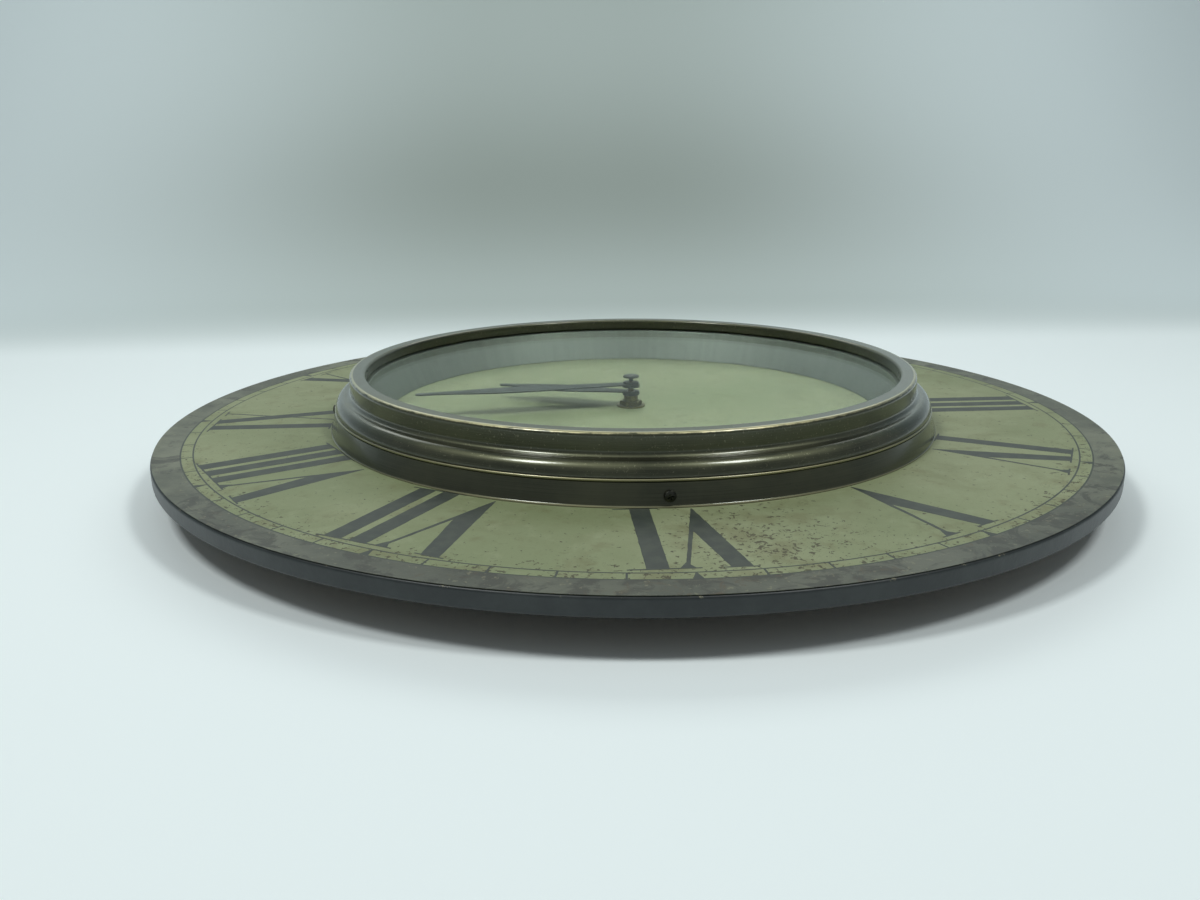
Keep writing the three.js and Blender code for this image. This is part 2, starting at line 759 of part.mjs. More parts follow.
const bearing = (axis, low, high) => moved(disc(bossRadius, low, high, arborFacets), axis);
const pivotHole = (axis, low, high) => moved(disc(arborRadius + pivotGap, low, high, arborFacets), axis);

function addCase() {
  const frontBase = caseSplit + caseSplitGap;
  const frontShell = cut(
    roundedBlock(caseLeft, caseBottom, caseRight, caseTop, caseCorner, frontBase, caseFront),
    gearSpace(frontBase - 1, trainFront),
    batteryBay(frontBase - 1, trainFront),
  );
  const frontAxes = [motionAxis, thirdAxis, fifthAxis, rotorAxis];
  const bossLevel = trainFront - bossHeight;
  const frontBosses = frontAxes.map((axis) => bearing(axis, bossLevel, caseFront - caseWall / 2));
  const frontHoles = frontAxes.map((axis) => pivotHole(axis, bossLevel - 1, trainFront));
  const bushingHole = disc(bushingRadius + pressGap, trainFront - 1, caseFront + 1);
  add('movement_front_case',
    cut(joined(frontShell, ...frontBosses), ...frontHoles, bushingHole), blackPlastic);

  const rearShell = cut(
    roundedBlock(caseLeft, caseBottom, caseRight, caseTop, caseCorner, caseRear, caseSplit),
    gearSpace(trainRear, caseSplit + 1),
    batteryBay(caseRear - 1, caseSplit + 1),
  );
  const rearAxes = [centreAxis, thirdAxis, fifthAxis, rotorAxis];
  const rearBosses = rearAxes.map((axis) =>
    bearing(axis, caseRear + caseWall / 2, trainRear + bossHeight));
  const rearHoles = rearAxes.map((axis) => pivotHole(axis, trainRear, trainRear + bossHeight + 1));
  const knobHole = moved(disc(knobRadius + 2 * screwHoleGap, caseRear - 1, trainRear + 1), motionAxis);
  add('movement_rear_case',
    cut(joined(rearShell, ...rearBosses), ...rearHoles, knobHole), blackPlastic);

  // Threaded bushing, flanged inside the front wall
  const flangeBase = trainFront - bushingFlangeThickness;
  add('threaded_bushing', turned([
    point(bushingBore, flangeBase),
    point(bushingFlangeRadius, flangeBase),
    point(bushingFlangeRadius, trainFront),
    point(bushingRadius, trainFront),
    point(bushingRadius, bushingTop),
    point(bushingBore, bushingTop),
  ]), brightBrass);

  add('rubber_washer',
    tube(boardHole, rubberWasherRadius, caseFront, boardBack), rubber);
}

// ---------------------------------------------------------------- hanger and blocks

const plateBase = feltThickness - plateThickness / 2;
const blockRear = plateBase + plateThickness;
const hangerY = dialRadius - topBlockInset;
const plateScrewX = plateLength / 2 - plateScrewInset;

function keyhole(low, high) {
  const head = moved(disc(keyholeHeadRadius, low, high), [0, hangerY - keyholeRise / 2]);
  const end = moved(disc(keyholeSlotRadius, low, high), [0, hangerY + keyholeRise / 2]);
  const slot = block(-keyholeSlotRadius, hangerY - keyholeRise / 2, keyholeSlotRadius,
    hangerY + keyholeRise / 2, low, high);
  return [head, end, slot];
}

function addHanger() {
  const halfLength = topBlockLength / 2;
  const halfWidth = topBlockWidth / 2;
  const reach = keyholeHeadRadius + pocketMargin;
  const body = block(-halfLength, hangerY - halfWidth, halfLength, hangerY + halfWidth,
    blockRear, boardBack);
  const nailPocket = block(-reach, hangerY - keyholeRise / 2 - reach, reach,
    hangerY + keyholeRise / 2 + reach, blockRear - 1, boardBack + 1);
  const pilots = [-1, 1].map((side) => moved(
    disc(plateScrewRadius + screwHoleGap, blockRear - 1, blockRear + plateScrewLength),
    [side * plateScrewX, hangerY]));
  add('hanger_block', cut(body, nailPocket, ...pilots), wood);

  const plate = block(-plateLength / 2, hangerY - plateWidth / 2, plateLength / 2,
    hangerY + plateWidth / 2, plateBase, blockRear);
  const plateHoles = [-1, 1].map((side) => moved(
    disc(plateScrewRadius + screwHoleGap, plateBase - 1, blockRear + 1),
    [side * plateScrewX, hangerY]));
  add('keyhole_plate', cut(plate, ...keyhole(plateBase - 1, blockRear + 1), ...plateHoles),
    greySteel);

  const headTop = plateBase;
  const shankEnd = blockRear + plateScrewLength - 1;
  for (const [side, name] of [[-1, 'plate_screw_left'], [1, 'plate_screw_right']]) {
    const screw = turned([
      point(0, headTop - plateHeadRise),
      point(plateScrewHeadRadius, headTop - plateHeadRim),
      point(plateScrewHeadRadius, headTop),
      point(plateScrewRadius, headTop),
      point(plateScrewRadius, shankEnd - screwPointLength),
      point(0, shankEnd),
    ]);
    add(name, moved(screw, [side * plateScrewX, hangerY]), brightBrass);
  }

  const feltX = halfLength - feltRadius - feltInset;
  for (const [side, name] of [[-1, 'left'], [1, 'right']]) {
    const [x, y] = polar(lowBlockRadius, -90 + side * lowBlockAngle);
    const half = lowBlockSide / 2;
    add(`spacer_block_${name}`,
      block(x - half, y - half, x + half, y + half, feltThickness, boardBack), wood);
    add(`felt_pad_low_${name}`, moved(disc(feltRadius, 0, feltThickness), [x, y]), felt);
    add(`felt_pad_top_${name}`, moved(disc(feltRadius, 0, blockRear), [side * feltX, hangerY]), felt);
  }
}

addDials();
addBezel();
addGlass();
addHands();
addTrain();
addMotionWork();
addMotor();
addElectrics();
addCase();
addHanger();

export default group;
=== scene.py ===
"""Looks of the gallery wall clock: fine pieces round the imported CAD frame, lying face up.

Lengths in the shape helpers are millimetres in the row frame: +Z leaves the dial, +Y points to
12 o'clock and +X to 3 o'clock.
"""

import json
import math

import bmesh
import bpy
from mathutils import Matrix, Vector, noise


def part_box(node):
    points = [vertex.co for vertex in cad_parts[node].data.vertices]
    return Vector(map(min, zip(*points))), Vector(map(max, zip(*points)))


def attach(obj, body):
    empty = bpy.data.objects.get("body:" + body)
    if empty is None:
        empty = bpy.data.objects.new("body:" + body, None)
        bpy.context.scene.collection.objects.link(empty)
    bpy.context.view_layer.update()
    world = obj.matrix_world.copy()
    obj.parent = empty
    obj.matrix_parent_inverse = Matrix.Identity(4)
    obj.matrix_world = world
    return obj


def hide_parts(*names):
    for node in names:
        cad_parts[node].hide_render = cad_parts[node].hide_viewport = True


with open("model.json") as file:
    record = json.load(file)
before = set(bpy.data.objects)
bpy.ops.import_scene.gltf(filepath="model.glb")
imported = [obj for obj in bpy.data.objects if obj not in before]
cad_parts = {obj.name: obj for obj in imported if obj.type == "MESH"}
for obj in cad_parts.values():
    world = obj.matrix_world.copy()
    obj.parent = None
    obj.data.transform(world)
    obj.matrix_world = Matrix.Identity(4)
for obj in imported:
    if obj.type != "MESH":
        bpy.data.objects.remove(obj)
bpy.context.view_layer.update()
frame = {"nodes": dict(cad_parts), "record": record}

MM = 0.001
CLOCK = "clock"


def top(node):
    """Highest level of a CAD node, in millimetres."""
    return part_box(node)[1][2] / MM


def low(node):
    """Lowest level of a CAD node, in millimetres."""
    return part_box(node)[0][2] / MM


def reach(node):
    """Largest X of a CAD node, in millimetres: the radius of a round one on the axis."""
    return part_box(node)[1][0] / MM


# ---------------------------------------------------------------- levels and radii

BOARD_BACK = low("dial_board")
BOARD_TOP = top("dial_board")
DIAL_TOP = top("outer_dial_print")
INNER_BOARD_TOP = top("inner_dial_board")
INNER_TOP = top("inner_dial_print")
LIP_TOP = top("bezel_shell")
GLASS_LOW = low("glass")
GLASS_TOP = top("glass")
BOARD_RADIUS = reach("dial_board")
PRINT_RADIUS = reach("outer_dial_print")
FOOT_RADIUS = reach("bezel_shell")

RING = 256
FINE = 64
SUPPORT_RUN = 3.0
SUPPORT = 0.3

# The spun bezel, as in the CAD
WALL = 0.9
NECK = 155.0
OPENING = 146.4
SKIRT_TOP = 163.3
SKIRT_HEIGHT = 11.8
ROLL_HEIGHT = 7.0
COVE = 2.5
LIP_ROUND = 1.8
INNER_ROUND = 1.5
LIP_FLAT = NECK - LIP_ROUND

# The printed chapter ring
RING_INNER = 234.3
RING_OUTER = 240.2

# ---------------------------------------------------------------- mesh helpers


def polar(radius, degrees):
    angle = math.radians(degrees)
    return radius * math.cos(angle), radius * math.sin(angle)


def arc(x, y, radius, start, end, steps):
    """Points on an arc, with angles in degrees."""
    turn = (end - start) / steps
    spots = [polar(radius, start + turn * i) for i in range(steps + 1)]
    return [(x + px, y + py) for px, py in spots]


def rounded(corners, steps=4):
    """An outline from (x, y, radius) corners, each softened by its radius."""
    outline = []
    for i, (x, y, radius) in enumerate(corners):
        here = Vector((x, y))
        if radius == 0:
            outline.append((x, y))
            continue
        back = Vector(corners[i - 1][:2]) - here
        ahead = Vector(corners[(i + 1) % len(corners)][:2]) - here
        run = radius / math.tan(back.angle(ahead) / 2)
        first = here + back.normalized() * min(run, back.length * 0.49)
        last = here + ahead.normalized() * min(run, ahead.length * 0.49)
        for step in range(steps + 1):
            t = step / steps
            spot = first * (1 - t) ** 2 + here * 2 * t * (1 - t) + last * t * t
            outline.append(tuple(spot))
    return outline


def supported(profile, closed):
    """A profile with spots close to both ends of its long runs, so that flats shade flat."""
    spots = []
    ends = profile[1:] + profile[:1] if closed else profile[1:]
    for start, end in zip(profile, ends):
        spots.append(start)
        start, end = Vector(start), Vector(end)
        if (end - start).length > SUPPORT_RUN:
            step = (end - start).normalized() * SUPPORT
            spots += [tuple(start + step), tuple(end - step)]
    return spots if closed else spots + [profile[-1]]


def turned(profile, facets=RING, bm=None):
    """A solid of revolution about Z. A profile that leaves the axis alone is closed on itself."""
    bm = bm or bmesh.new()
    rings = []
    for radius, level in supported(list(profile), profile[0][0] > 1e-6):
        if radius < 1e-6:
            rings.append([bm.verts.new((0, 0, level * MM))])
            continue
        spots = [polar(radius * MM, 360 * i / facets) for i in range(facets)]
        rings.append([bm.verts.new((x, y, level * MM)) for x, y in spots])
    following = rings[1:]
    if profile[0][0] > 1e-6:
        following.append(rings[0])
    for one, other in zip(rings, following):
        for i in range(facets):
            j = (i + 1) % facets
            corners = [one[i % len(one)], one[j % len(one)]]
            corners += [other[j % len(other)], other[i % len(other)]]
            corners = list(dict.fromkeys(corners))
            if len(corners) > 2:
                bm.faces.new(corners)
    return bm


def slab(outline, bottom, height, bevel=0, bm=None):
    """An outline pulled up from bottom, with the rims of both faces bevelled."""
    bm = bm or bmesh.new()
    lower = [bm.verts.new((x * MM, y * MM, bottom * MM)) for x, y in outline]
    upper = [bm.verts.new((x * MM, y * MM, (bottom + height) * MM)) for x, y in outline]
    caps = [bm.faces.new(lower[::-1]), bm.faces.new(upper)]
    for i in range(len(outline)):
        j = (i + 1) % len(outline)
        bm.faces.new((lower[i], lower[j], upper[j], upper[i]))
    if bevel:
        rims = list({edge for cap in caps for edge in cap.edges})
        bmesh.ops.bevel(
            bm, geom=rims, offset=bevel * MM, segments=2, profile=0.5, affect="EDGES"
        )
    return bm


def placed(bm, turn=None, x=0, y=0, z=0):
    """Turns a shape by a matrix, then moves it, in millimetres."""
    matrix = Matrix.Translation((x * MM, y * MM, z * MM))
    if turn is not None:
        matrix = matrix @ turn
    bmesh.ops.transform(bm, matrix=matrix, verts=bm.verts)
    return bm


def about(axis, degrees):
    return Matrix.Rotation(math.radians(degrees), 4, axis)


def mesh_object(name, bm):
    bmesh.ops.recalc_face_normals(bm, faces=bm.faces)
    mesh = bpy.data.meshes.new(name)
    bm.to_mesh(mesh)
    bm.free()
    obj = bpy.data.objects.new(name, mesh)
    bpy.context.collection.objects.link(obj)
    return obj


def carve(obj, cutters):
    """Cuts closed shapes out of a piece."""
    for bm in cutters:
        tool = mesh_object("cutter", bm)
        step = obj.modifiers.new("cut", "BOOLEAN")
        step.object = tool
        step.operation = "DIFFERENCE"
        step.solver = "EXACT"
        graph = bpy.context.evaluated_depsgraph_get()
        mesh = bpy.data.meshes.new_from_object(obj.evaluated_get(graph))
        obj.modifiers.clear()
        obj.data = mesh
        bpy.data.objects.remove(tool)


def piece(name, bm, look, body=CLOCK, stands_for=(), cutters=(), sharp=35):
    """A finished piece that rides on a body, takes the finish it is given and may stand for CAD
    nodes.
    """
    obj = mesh_object(name, bm)
    carve(obj, cutters)
    mesh = obj.data
    mesh.polygons.foreach_set("use_smooth", [True] * len(mesh.polygons))
    mesh.set_sharp_from_angle(angle=math.radians(sharp))
    mesh.materials.clear()
    mesh.materials.append(look)
    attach(obj, body)
    if stands_for:
        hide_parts(*stands_for)
    return obj


# ---------------------------------------------------------------- material helpers

ALBEDO_SHARE = 0.77

def tone(red, green, blue, share=ALBEDO_SHARE):
    """Linear colour from the display values it is to show under the lamps."""
    values = [v / 255 for v in (red, green, blue)]
    linear = [v / 12.92 if v <= 0.04045 else ((v + 0.055) / 1.055) ** 2.4 for v in values]
    return (*[v * share for v in linear], 1.0)


class Look:
    """A Principled material fed by procedural nodes in the row frame."""

    def __init__(self, name, **settings):
        self.material = bpy.data.materials.new(name)
        self.material.use_nodes = True
        self.tree = self.material.node_tree
        self.tree.nodes.clear()
        self.output = self.tree.nodes.new("ShaderNodeOutputMaterial")
        self.shader = self.tree.nodes.new("ShaderNodeBsdfPrincipled")
        self.tree.links.new(self.shader.outputs[0], self.output.inputs["Surface"])
        self.object = self.tree.nodes.new("ShaderNodeTexCoord").outputs["Object"]
        for name, value in settings.items():
            self.shader.inputs[name.replace("_", " ")].default_value = value

    def put(self, socket, value):
        if isinstance(value, bpy.types.NodeSocket):
            self.tree.links.new(value, socket)
        else:
            socket.default_value = value

    def feed(self, name, value):
        self.put(self.shader.inputs[name], value)

    def stretched(self, x, y, z):
        node = self.tree.nodes.new("ShaderNodeMapping")
        self.put(node.inputs["Vector"], self.object)
        node.inputs["Scale"].default_value = (x, y, z)
        return node.outputs[0]

    def noise(self, scale, detail=3.0, roughness=0.5, vector=None, warp=0.0):
        node = self.tree.nodes.new("ShaderNodeTexNoise")
        self.put(node.inputs["Vector"], vector or self.object)
        node.inputs["Scale"].default_value = scale
        node.inputs["Detail"].default_value = detail
        node.inputs["Roughness"].default_value = roughness
        node.inputs["Distortion"].default_value = warp
        return node.outputs[0]

    def math(self, operation, first, second=0.0):
        node = self.tree.nodes.new("ShaderNodeMath")
        node.operation = operation
        self.put(node.inputs[0], first)
        self.put(node.inputs[1], second)
        return node.outputs[0]

    def step(self, value, start, end):
        """0 at start and 1 at end, smoothly, either way round."""
        node = self.tree.nodes.new("ShaderNodeMapRange")
        node.interpolation_type = "SMOOTHSTEP"
        self.put(node.inputs["Value"], value)
        flipped = start > end
        node.inputs["From Min"].default_value = min(start, end)
        node.inputs["From Max"].default_value = max(start, end)
        node.inputs["To Min"].default_value = 1.0 if flipped else 0.0
        node.inputs["To Max"].default_value = 0.0 if flipped else 1.0
        return node.outputs[0]

    def mix(self, share, first, second, blend="MIX"):
        node = self.tree.nodes.new("ShaderNodeMixRGB")
        node.blend_type = blend
        self.put(node.inputs[0], share)
        self.put(node.inputs[1], first)
        self.put(node.inputs[2], second)
        return node.outputs[0]

    def bump(self, height, depth, strength=1.0):
        """Bump of the given depth in millimetres."""
        node = self.tree.nodes.new("ShaderNodeBump")
        node.inputs["Distance"].default_value = depth * MM
        node.inputs["Strength"].default_value = strength
        self.put(node.inputs["Height"], height)
        self.put(self.shader.inputs["Normal"], node.outputs[0])

    def parts(self):
        """X, Y and Z of the row frame in metres."""
        node = self.tree.nodes.new("ShaderNodeSeparateXYZ")
        self.put(node.inputs[0], self.object)
        return node.outputs[:3]

    def round_about(self, turns, grain):
        """A vector for marks that run round Z: radius, height and a slow turn."""
        x, y, z = self.parts()
        radius = self.radius()
        angle = self.math("ARCTAN2", y, x)
        node = self.tree.nodes.new("ShaderNodeCombineXYZ")
        self.put(node.inputs[0], self.math("MULTIPLY", radius, grain))
        self.put(node.inputs[1], self.math("MULTIPLY", z, grain))
        self.put(node.inputs[2], self.math("MULTIPLY", angle, turns))
        return node.outputs[0]

    def radius(self):
        """Distance from the axis in metres."""
        x, y, _ = self.parts()
        square = self.math("ADD", self.math("MULTIPLY", x, x), self.math("MULTIPLY", y, y))
        return self.math("SQRT", square)


# ---------------------------------------------------------------- paper, ink and paint


RUST_X = 32.0
RUST_Y = -206.0
RUST_REACH = 70.0
RUST_RIM = 215.0


def paper(look):
    """Aged yellow-green paper: slow clouds, stains, fibres and fine dark specks."""
    cloud = look.step(look.noise(9, 4, 0.55), 0.36, 0.66)
    colour = look.mix(cloud, tone(138, 149, 108), tone(155, 163, 124))
    blotch = look.step(look.noise(34, 6, 0.62, warp=0.6), 0.46, 0.74)
    colour = look.mix(look.math("MULTIPLY", blotch, 0.55), colour, tone(124, 130, 88))
    pale = look.step(look.noise(75, 5, 0.6), 0.52, 0.76)
    colour = look.mix(look.math("MULTIPLY", pale, 0.4), colour, tone(168, 177, 140))
    stain = look.step(look.noise(120, 3, 0.5, warp=1.2), 0.64, 0.76)
    colour = look.mix(look.math("MULTIPLY", stain, 0.35), colour, tone(104, 104, 66))
    fibre = look.step(look.noise(1400, 2, 0.6), 0.4, 0.7)
    colour = look.mix(look.math("MULTIPLY", fibre, 0.14), colour, tone(110, 116, 82))
    speckled = look.step(look.noise(26, 2, 0.5), 0.5, 0.66)
    speck = look.step(look.noise(520, 2, 0.55, warp=0.4), 0.66, 0.705)
    share = look.math("MULTIPLY", look.math("MULTIPLY", speck, speckled), 0.85)
    colour = look.mix(share, colour, tone(62, 64, 44))
    return rusted(look, colour)


def rusted(look, colour):
    """Brown-black specks and small stains, thick near the six and along the rim."""
    x, y, _ = look.parts()
    dx = look.math("SUBTRACT", x, RUST_X * MM)
    dy = look.math("SUBTRACT", y, RUST_Y * MM)
    square = look.math("ADD", look.math("MULTIPLY", dx, dx), look.math("MULTIPLY", dy, dy))
    near = look.step(look.math("SQRT", square), RUST_REACH * MM, 0.0)
    rim = look.step(look.radius(), RUST_RIM * MM, (RING_INNER + 4) * MM)
    rim = look.math("MULTIPLY", rim, look.step(y, 0.0, -0.14))
    thick = look.math("MAXIMUM", near, look.math("MULTIPLY", rim, 0.8))
    field = look.math("ADD", look.noise(430, 4, 0.6, warp=0.5), look.math("MULTIPLY", thick, 0.11))
    speck = look.step(field, 0.665, 0.69)
    wash = look.math("ADD", look.noise(70, 5, 0.6), look.math("MULTIPLY", thick, 0.12))
    stain = look.math("MULTIPLY", look.step(wash, 0.56, 0.74), 0.4)
    colour = look.mix(stain, colour, tone(112, 106, 66))
    return look.mix(look.math("MULTIPLY", speck, 0.85), colour, tone(66, 58, 38))


def parchment_look(name, rubbed_ring=None):
    """Printed paper; the inner dial is also darkened all over as painted shade and shows a faint
    speckled ring close to its edge.
    """
    look = Look(name, Roughness=0.62)
    colour = paper(look)
    if rubbed_ring:
        # Painted shade: the whole inner dial is darkened, in place of the shade it gets under the
        # bezel and the glass
        colour = look.mix(0.28, colour, tone(92, 98, 74))
        start, end = rubbed_ring
        radius = look.radius()
        inside = look.step(radius, start * MM, (start + 1) * MM)
        inside = look.math("MULTIPLY", inside, look.step(radius, (end + 1) * MM, end * MM))
        speckle = look.step(look.noise(700, 3, 0.65), 0.5, 0.62)
        share = look.math("MULTIPLY", look.math("MULTIPLY", speckle, inside), 0.45)
        colour = look.mix(share, colour, tone(84, 90, 72))
    look.feed("Base Color", colour)
    look.bump(look.noise(900, 4, 0.6), 0.02)
    return look


def ink_look():
    """Printed ink, rubbed through to the paper in places."""
    look = Look("dial_ink", Roughness=0.55)
    wear_and_highlight = look.step(look.noise(650, 4, 0.7), 0.62, 0.74)
    rubbed = look.step(look.noise(40, 4, 0.6), 0.5, 0.7)
    share = look.math("MULTIPLY", wear_and_highlight, look.math("ADD", look.math("MULTIPLY", rubbed, 0.7), 0.12))
    soft = look.step(look.noise(160, 3, 0.5), 0.35, 0.7)
    ink = look.mix(soft, tone(58, 66, 60), tone(70, 78, 68))
    look.feed("Base Color", look.mix(share, ink, paper(look)))
    look.bump(look.noise(900, 4, 0.6), 0.02)
    return look


def border_look():
    """The distressed dark band round the dial, with brown blots and light scratches."""
    look = Look("dial_border", Roughness=0.5)
    soft = look.step(look.noise(22, 5, 0.65), 0.36, 0.64)
    base = look.mix(soft, tone(86, 91, 76), tone(124, 128, 108))
    _, y, _ = look.parts()
    # Painted shade: the band is made darker towards the 6 o'clock side, nearest the camera; blots
    # and brown stains also gather there
    front = look.step(y, -0.1, -0.235)
    base = look.mix(look.math("MULTIPLY", front, 0.55), base, tone(70, 74, 64))
    blot = look.math("ADD", look.noise(60, 6, 0.7, warp=0.8), look.math("MULTIPLY", front, 0.07))
    blot = look.step(blot, 0.52, 0.62)
    base = look.mix(look.math("MULTIPLY", blot, 0.85), base, tone(58, 60, 50))
    brown = look.step(look.noise(95, 6, 0.7, warp=0.6), 0.55, 0.66)
    share = look.math("MULTIPLY", brown, look.math("MULTIPLY", front, 0.6))
    base = look.mix(share, base, tone(86, 72, 46))
    streaks = look.noise(1.0, 5, 0.7, vector=look.round_about(9.0, 620.0))
    scratch = look.step(streaks, 0.62, 0.74)
    base = look.mix(look.math("MULTIPLY", scratch, 0.5), base, tone(150, 148, 118))
    rub = look.step(look.noise(420, 3, 0.6), 0.62, 0.7)
    base = look.mix(look.math("MULTIPLY", rub, 0.5), base, tone(140, 138, 108))
    look.feed("Base Color", base)
    look.bump(look.noise(500, 5, 0.65), 0.08)
    return look


def board_look():
    """Black painted board, chipped to pale fibre along its front edge, bare brown at the back."""
    look = Look("board_paint", Roughness=0.42)
    cloud = look.step(look.noise(60, 4, 0.6), 0.35, 0.7)
    paint = look.mix(cloud, tone(40, 46, 47), tone(53, 59, 59))
    _, _, z = look.parts()
    edge = look.step(z, (BOARD_TOP - 1.1) * MM, (BOARD_TOP - 0.1) * MM)
    chips = look.step(look.noise(170, 6, 0.75), 0.6, 0.66)
    share = look.math("MULTIPLY", edge, chips)
    paint = look.mix(share, paint, tone(150, 146, 120))
    back = look.step(z, (BOARD_BACK + 0.25) * MM, (BOARD_BACK + 0.05) * MM)
    fibre = look.mix(look.noise(260, 5, 0.7), tone(88, 70, 52), tone(122, 100, 76))
    look.feed("Base Color", look.mix(back, paint, fibre))
    look.bump(look.noise(340, 5, 0.6), 0.12)
    return look


# ---------------------------------------------------------------- metals


def bezel_look():
    """Dark olive spun brass under lacquer, with painted highlight lines on the crest, the bead and
    the foot.
    """
    look = Look(
        "antique_brass", Metallic=1.0, Anisotropic=0.2, Coat_Weight=1.0, Coat_Roughness=0.16
    )
    brushed = look.noise(1.0, 4, 0.65, vector=look.round_about(3.0, 2600.0))
    cloud = look.step(look.noise(26, 5, 0.62), 0.32, 0.7)
    patina = look.mix(cloud, tone(78, 80, 60), tone(98, 99, 76))
    lines = look.step(brushed, 0.35, 0.7)
    patina = look.mix(look.math("MULTIPLY", lines, 0.3), patina, tone(120, 122, 98))
    spots = look.step(look.noise(220, 5, 0.7), 0.6, 0.72)
    patina = look.mix(look.math("MULTIPLY", spots, 0.4), patina, tone(54, 54, 40))
    _, _, z = look.parts()
    bead = (DIAL_TOP + SKIRT_HEIGHT) * MM
    fleck = look.step(look.noise(900, 3, 0.6, warp=0.5), 0.62, 0.68)
    upper = look.step(z, bead, bead + 3 * MM)
    share = look.math("MULTIPLY", look.math("MULTIPLY", fleck, upper), 0.5)
    patina = look.mix(share, patina, tone(158, 158, 128))
    # Painted highlight: pale brass colour on thin lines at the lip crest, the bead and the foot,
    # laid in place of the glints these edges catch
    wander = look.math("SUBTRACT", look.noise(160, 4, 0.6), 0.5)
    ragged = look.math("ADD", z, look.math("MULTIPLY", wander, 2.2 * MM))
    crest = look.step(ragged, (LIP_TOP - 0.9) * MM, (LIP_TOP - 0.3) * MM)
    outer = look.step(look.radius(), (LIP_FLAT - 0.4) * MM, (LIP_FLAT + 0.4) * MM)
    wear_and_highlight = look.math("MULTIPLY", crest, outer)
    for level, half in ((bead - 0.5 * MM, 0.7 * MM), (DIAL_TOP * MM + 0.35 * MM, 0.55 * MM)):
        off = look.math("ABSOLUTE", look.math("SUBTRACT", z, level))
        wear_and_highlight = look.math("MAXIMUM", wear_and_highlight, look.step(off, half, half * 0.4))
    highlight_tone = tone(204, 197, 154)
    look.feed("Base Color", look.mix(look.math("MULTIPLY", wear_and_highlight, 0.85), patina, highlight_tone))
    clouded, lined = look.math("MULTIPLY", cloud, 0.12), look.math("MULTIPLY", brushed, 0.22)
    rough = look.math("ADD", clouded, lined)
    look.feed("Roughness", look.math("ADD", rough, 0.26))
    tangent = look.tree.nodes.new("ShaderNodeTangent")
    tangent.direction_type = "RADIAL"
    tangent.axis = "Z"
    look.feed("Tangent", tangent.outputs[0])
    look.bump(brushed, 0.02)
    return look


def metal_look(name, dark, pale, roughness, grain=300, streaks=None):
    """Brushed or cast metal between two tones."""
    look = Look(name, Metallic=1.0)
    vector = look.stretched(*streaks) if streaks else None
    field = look.noise(grain, 4, 0.6, vector=vector)
    look.feed("Base Color", look.mix(look.step(field, 0.34, 0.68), tone(*dark), tone(*pale)))
    spread = look.math("MULTIPLY", look.noise(grain * 0.3, 3), 0.16)
    look.feed("Roughness", look.math("ADD", spread, roughness - 0.08))
    look.bump(look.noise(grain * 2, 3), 0.015)
    return look


def sight_ring_look():
    """Grey sheet metal whose lighter upright streaks are painted reflections."""
    look = Look("sight_ring_metal", Metallic=0.55)
    x, y, _ = look.parts()
    angle = look.math("ARCTAN2", y, x)
    node = look.tree.nodes.new("ShaderNodeCombineXYZ")
    look.put(node.inputs[0], look.math("MULTIPLY", angle, 26.0))
    # Painted reflection: lighter upright streaks in the colour stand in for the lamps' reflections
    # on the conical wall
    reflection_streak = look.step(look.noise(1.0, 4, 0.6, vector=node.outputs[0]), 0.3, 0.74)
    colour = look.mix(reflection_streak, tone(122, 131, 122), tone(136, 145, 135))
    stain = look.step(look.noise(90, 4, 0.6), 0.5, 0.72)
    stain = look.math("MULTIPLY", stain, 0.3)
    look.feed("Base Color", look.mix(stain, colour, tone(108, 114, 102)))
    look.feed("Roughness", look.math("ADD", look.math("MULTIPLY", reflection_streak, 0.1), 0.42))
    look.bump(look.noise(700, 3), 0.003)
    return look


def hand_look():
    """Satin near-black lacquer on thin steel."""
    look = Look("hand_black", Metallic=0.35, Coat_Weight=0.15, Coat_Roughness=0.3)
    cloud = look.step(look.noise(70, 4, 0.6), 0.35, 0.7)
    colour = look.mix(cloud, tone(44, 50, 50), tone(58, 64, 62))
    wear_and_highlight = look.step(look.noise(900, 3, 0.6), 0.66, 0.72)
    look.feed("Base Color", look.mix(look.math("MULTIPLY", wear_and_highlight, 0.3), colour, tone(110, 112, 100)))
    look.feed("Roughness", look.math("ADD", look.math("MULTIPLY", cloud, 0.12), 0.36))
    look.bump(look.noise(1200, 3), 0.012)
    return look


def glass_look():
    """Clear flat glass that lets lamps through."""
    look = Look("clock_glass", Roughness=0.02, IOR=1.06, Transmission_Weight=1.0)
    look.shader.inputs["Base Color"].default_value = (0.9, 0.92, 0.9, 1)
    clear = look.tree.nodes.new("ShaderNodeBsdfTransparent")
    clear.inputs[0].default_value = (0.94, 0.98, 0.96, 1)
    path = look.tree.nodes.new("ShaderNodeLightPath")
    choice = look.tree.nodes.new("ShaderNodeMixShader")
    look.put(choice.inputs[0], path.outputs["Is Shadow Ray"])
    look.put(choice.inputs[1], look.shader.outputs[0])
    look.put(choice.inputs[2], clear.outputs[0])
    look.put(look.output.inputs["Surface"], choice.outputs[0])
    return look


# ---------------------------------------------------------------- other finishes


def wood_look():
    look = Look("pine", Roughness=0.68)
    rings = look.noise(1.0, 5, 0.6, vector=look.stretched(14, 160, 160), warp=0.4)
    colour = look.mix(look.step(rings, 0.3, 0.7), tone(150, 120, 82), tone(186, 156, 112))
    pores = look.step(look.noise(1.0, 3, 0.6, vector=look.stretched(90, 2200, 2200)), 0.6, 0.72)
    look.feed("Base Color", look.mix(look.math("MULTIPLY", pores, 0.4), colour, tone(112, 84, 54)))
    look.bump(rings, 0.15)
    return look


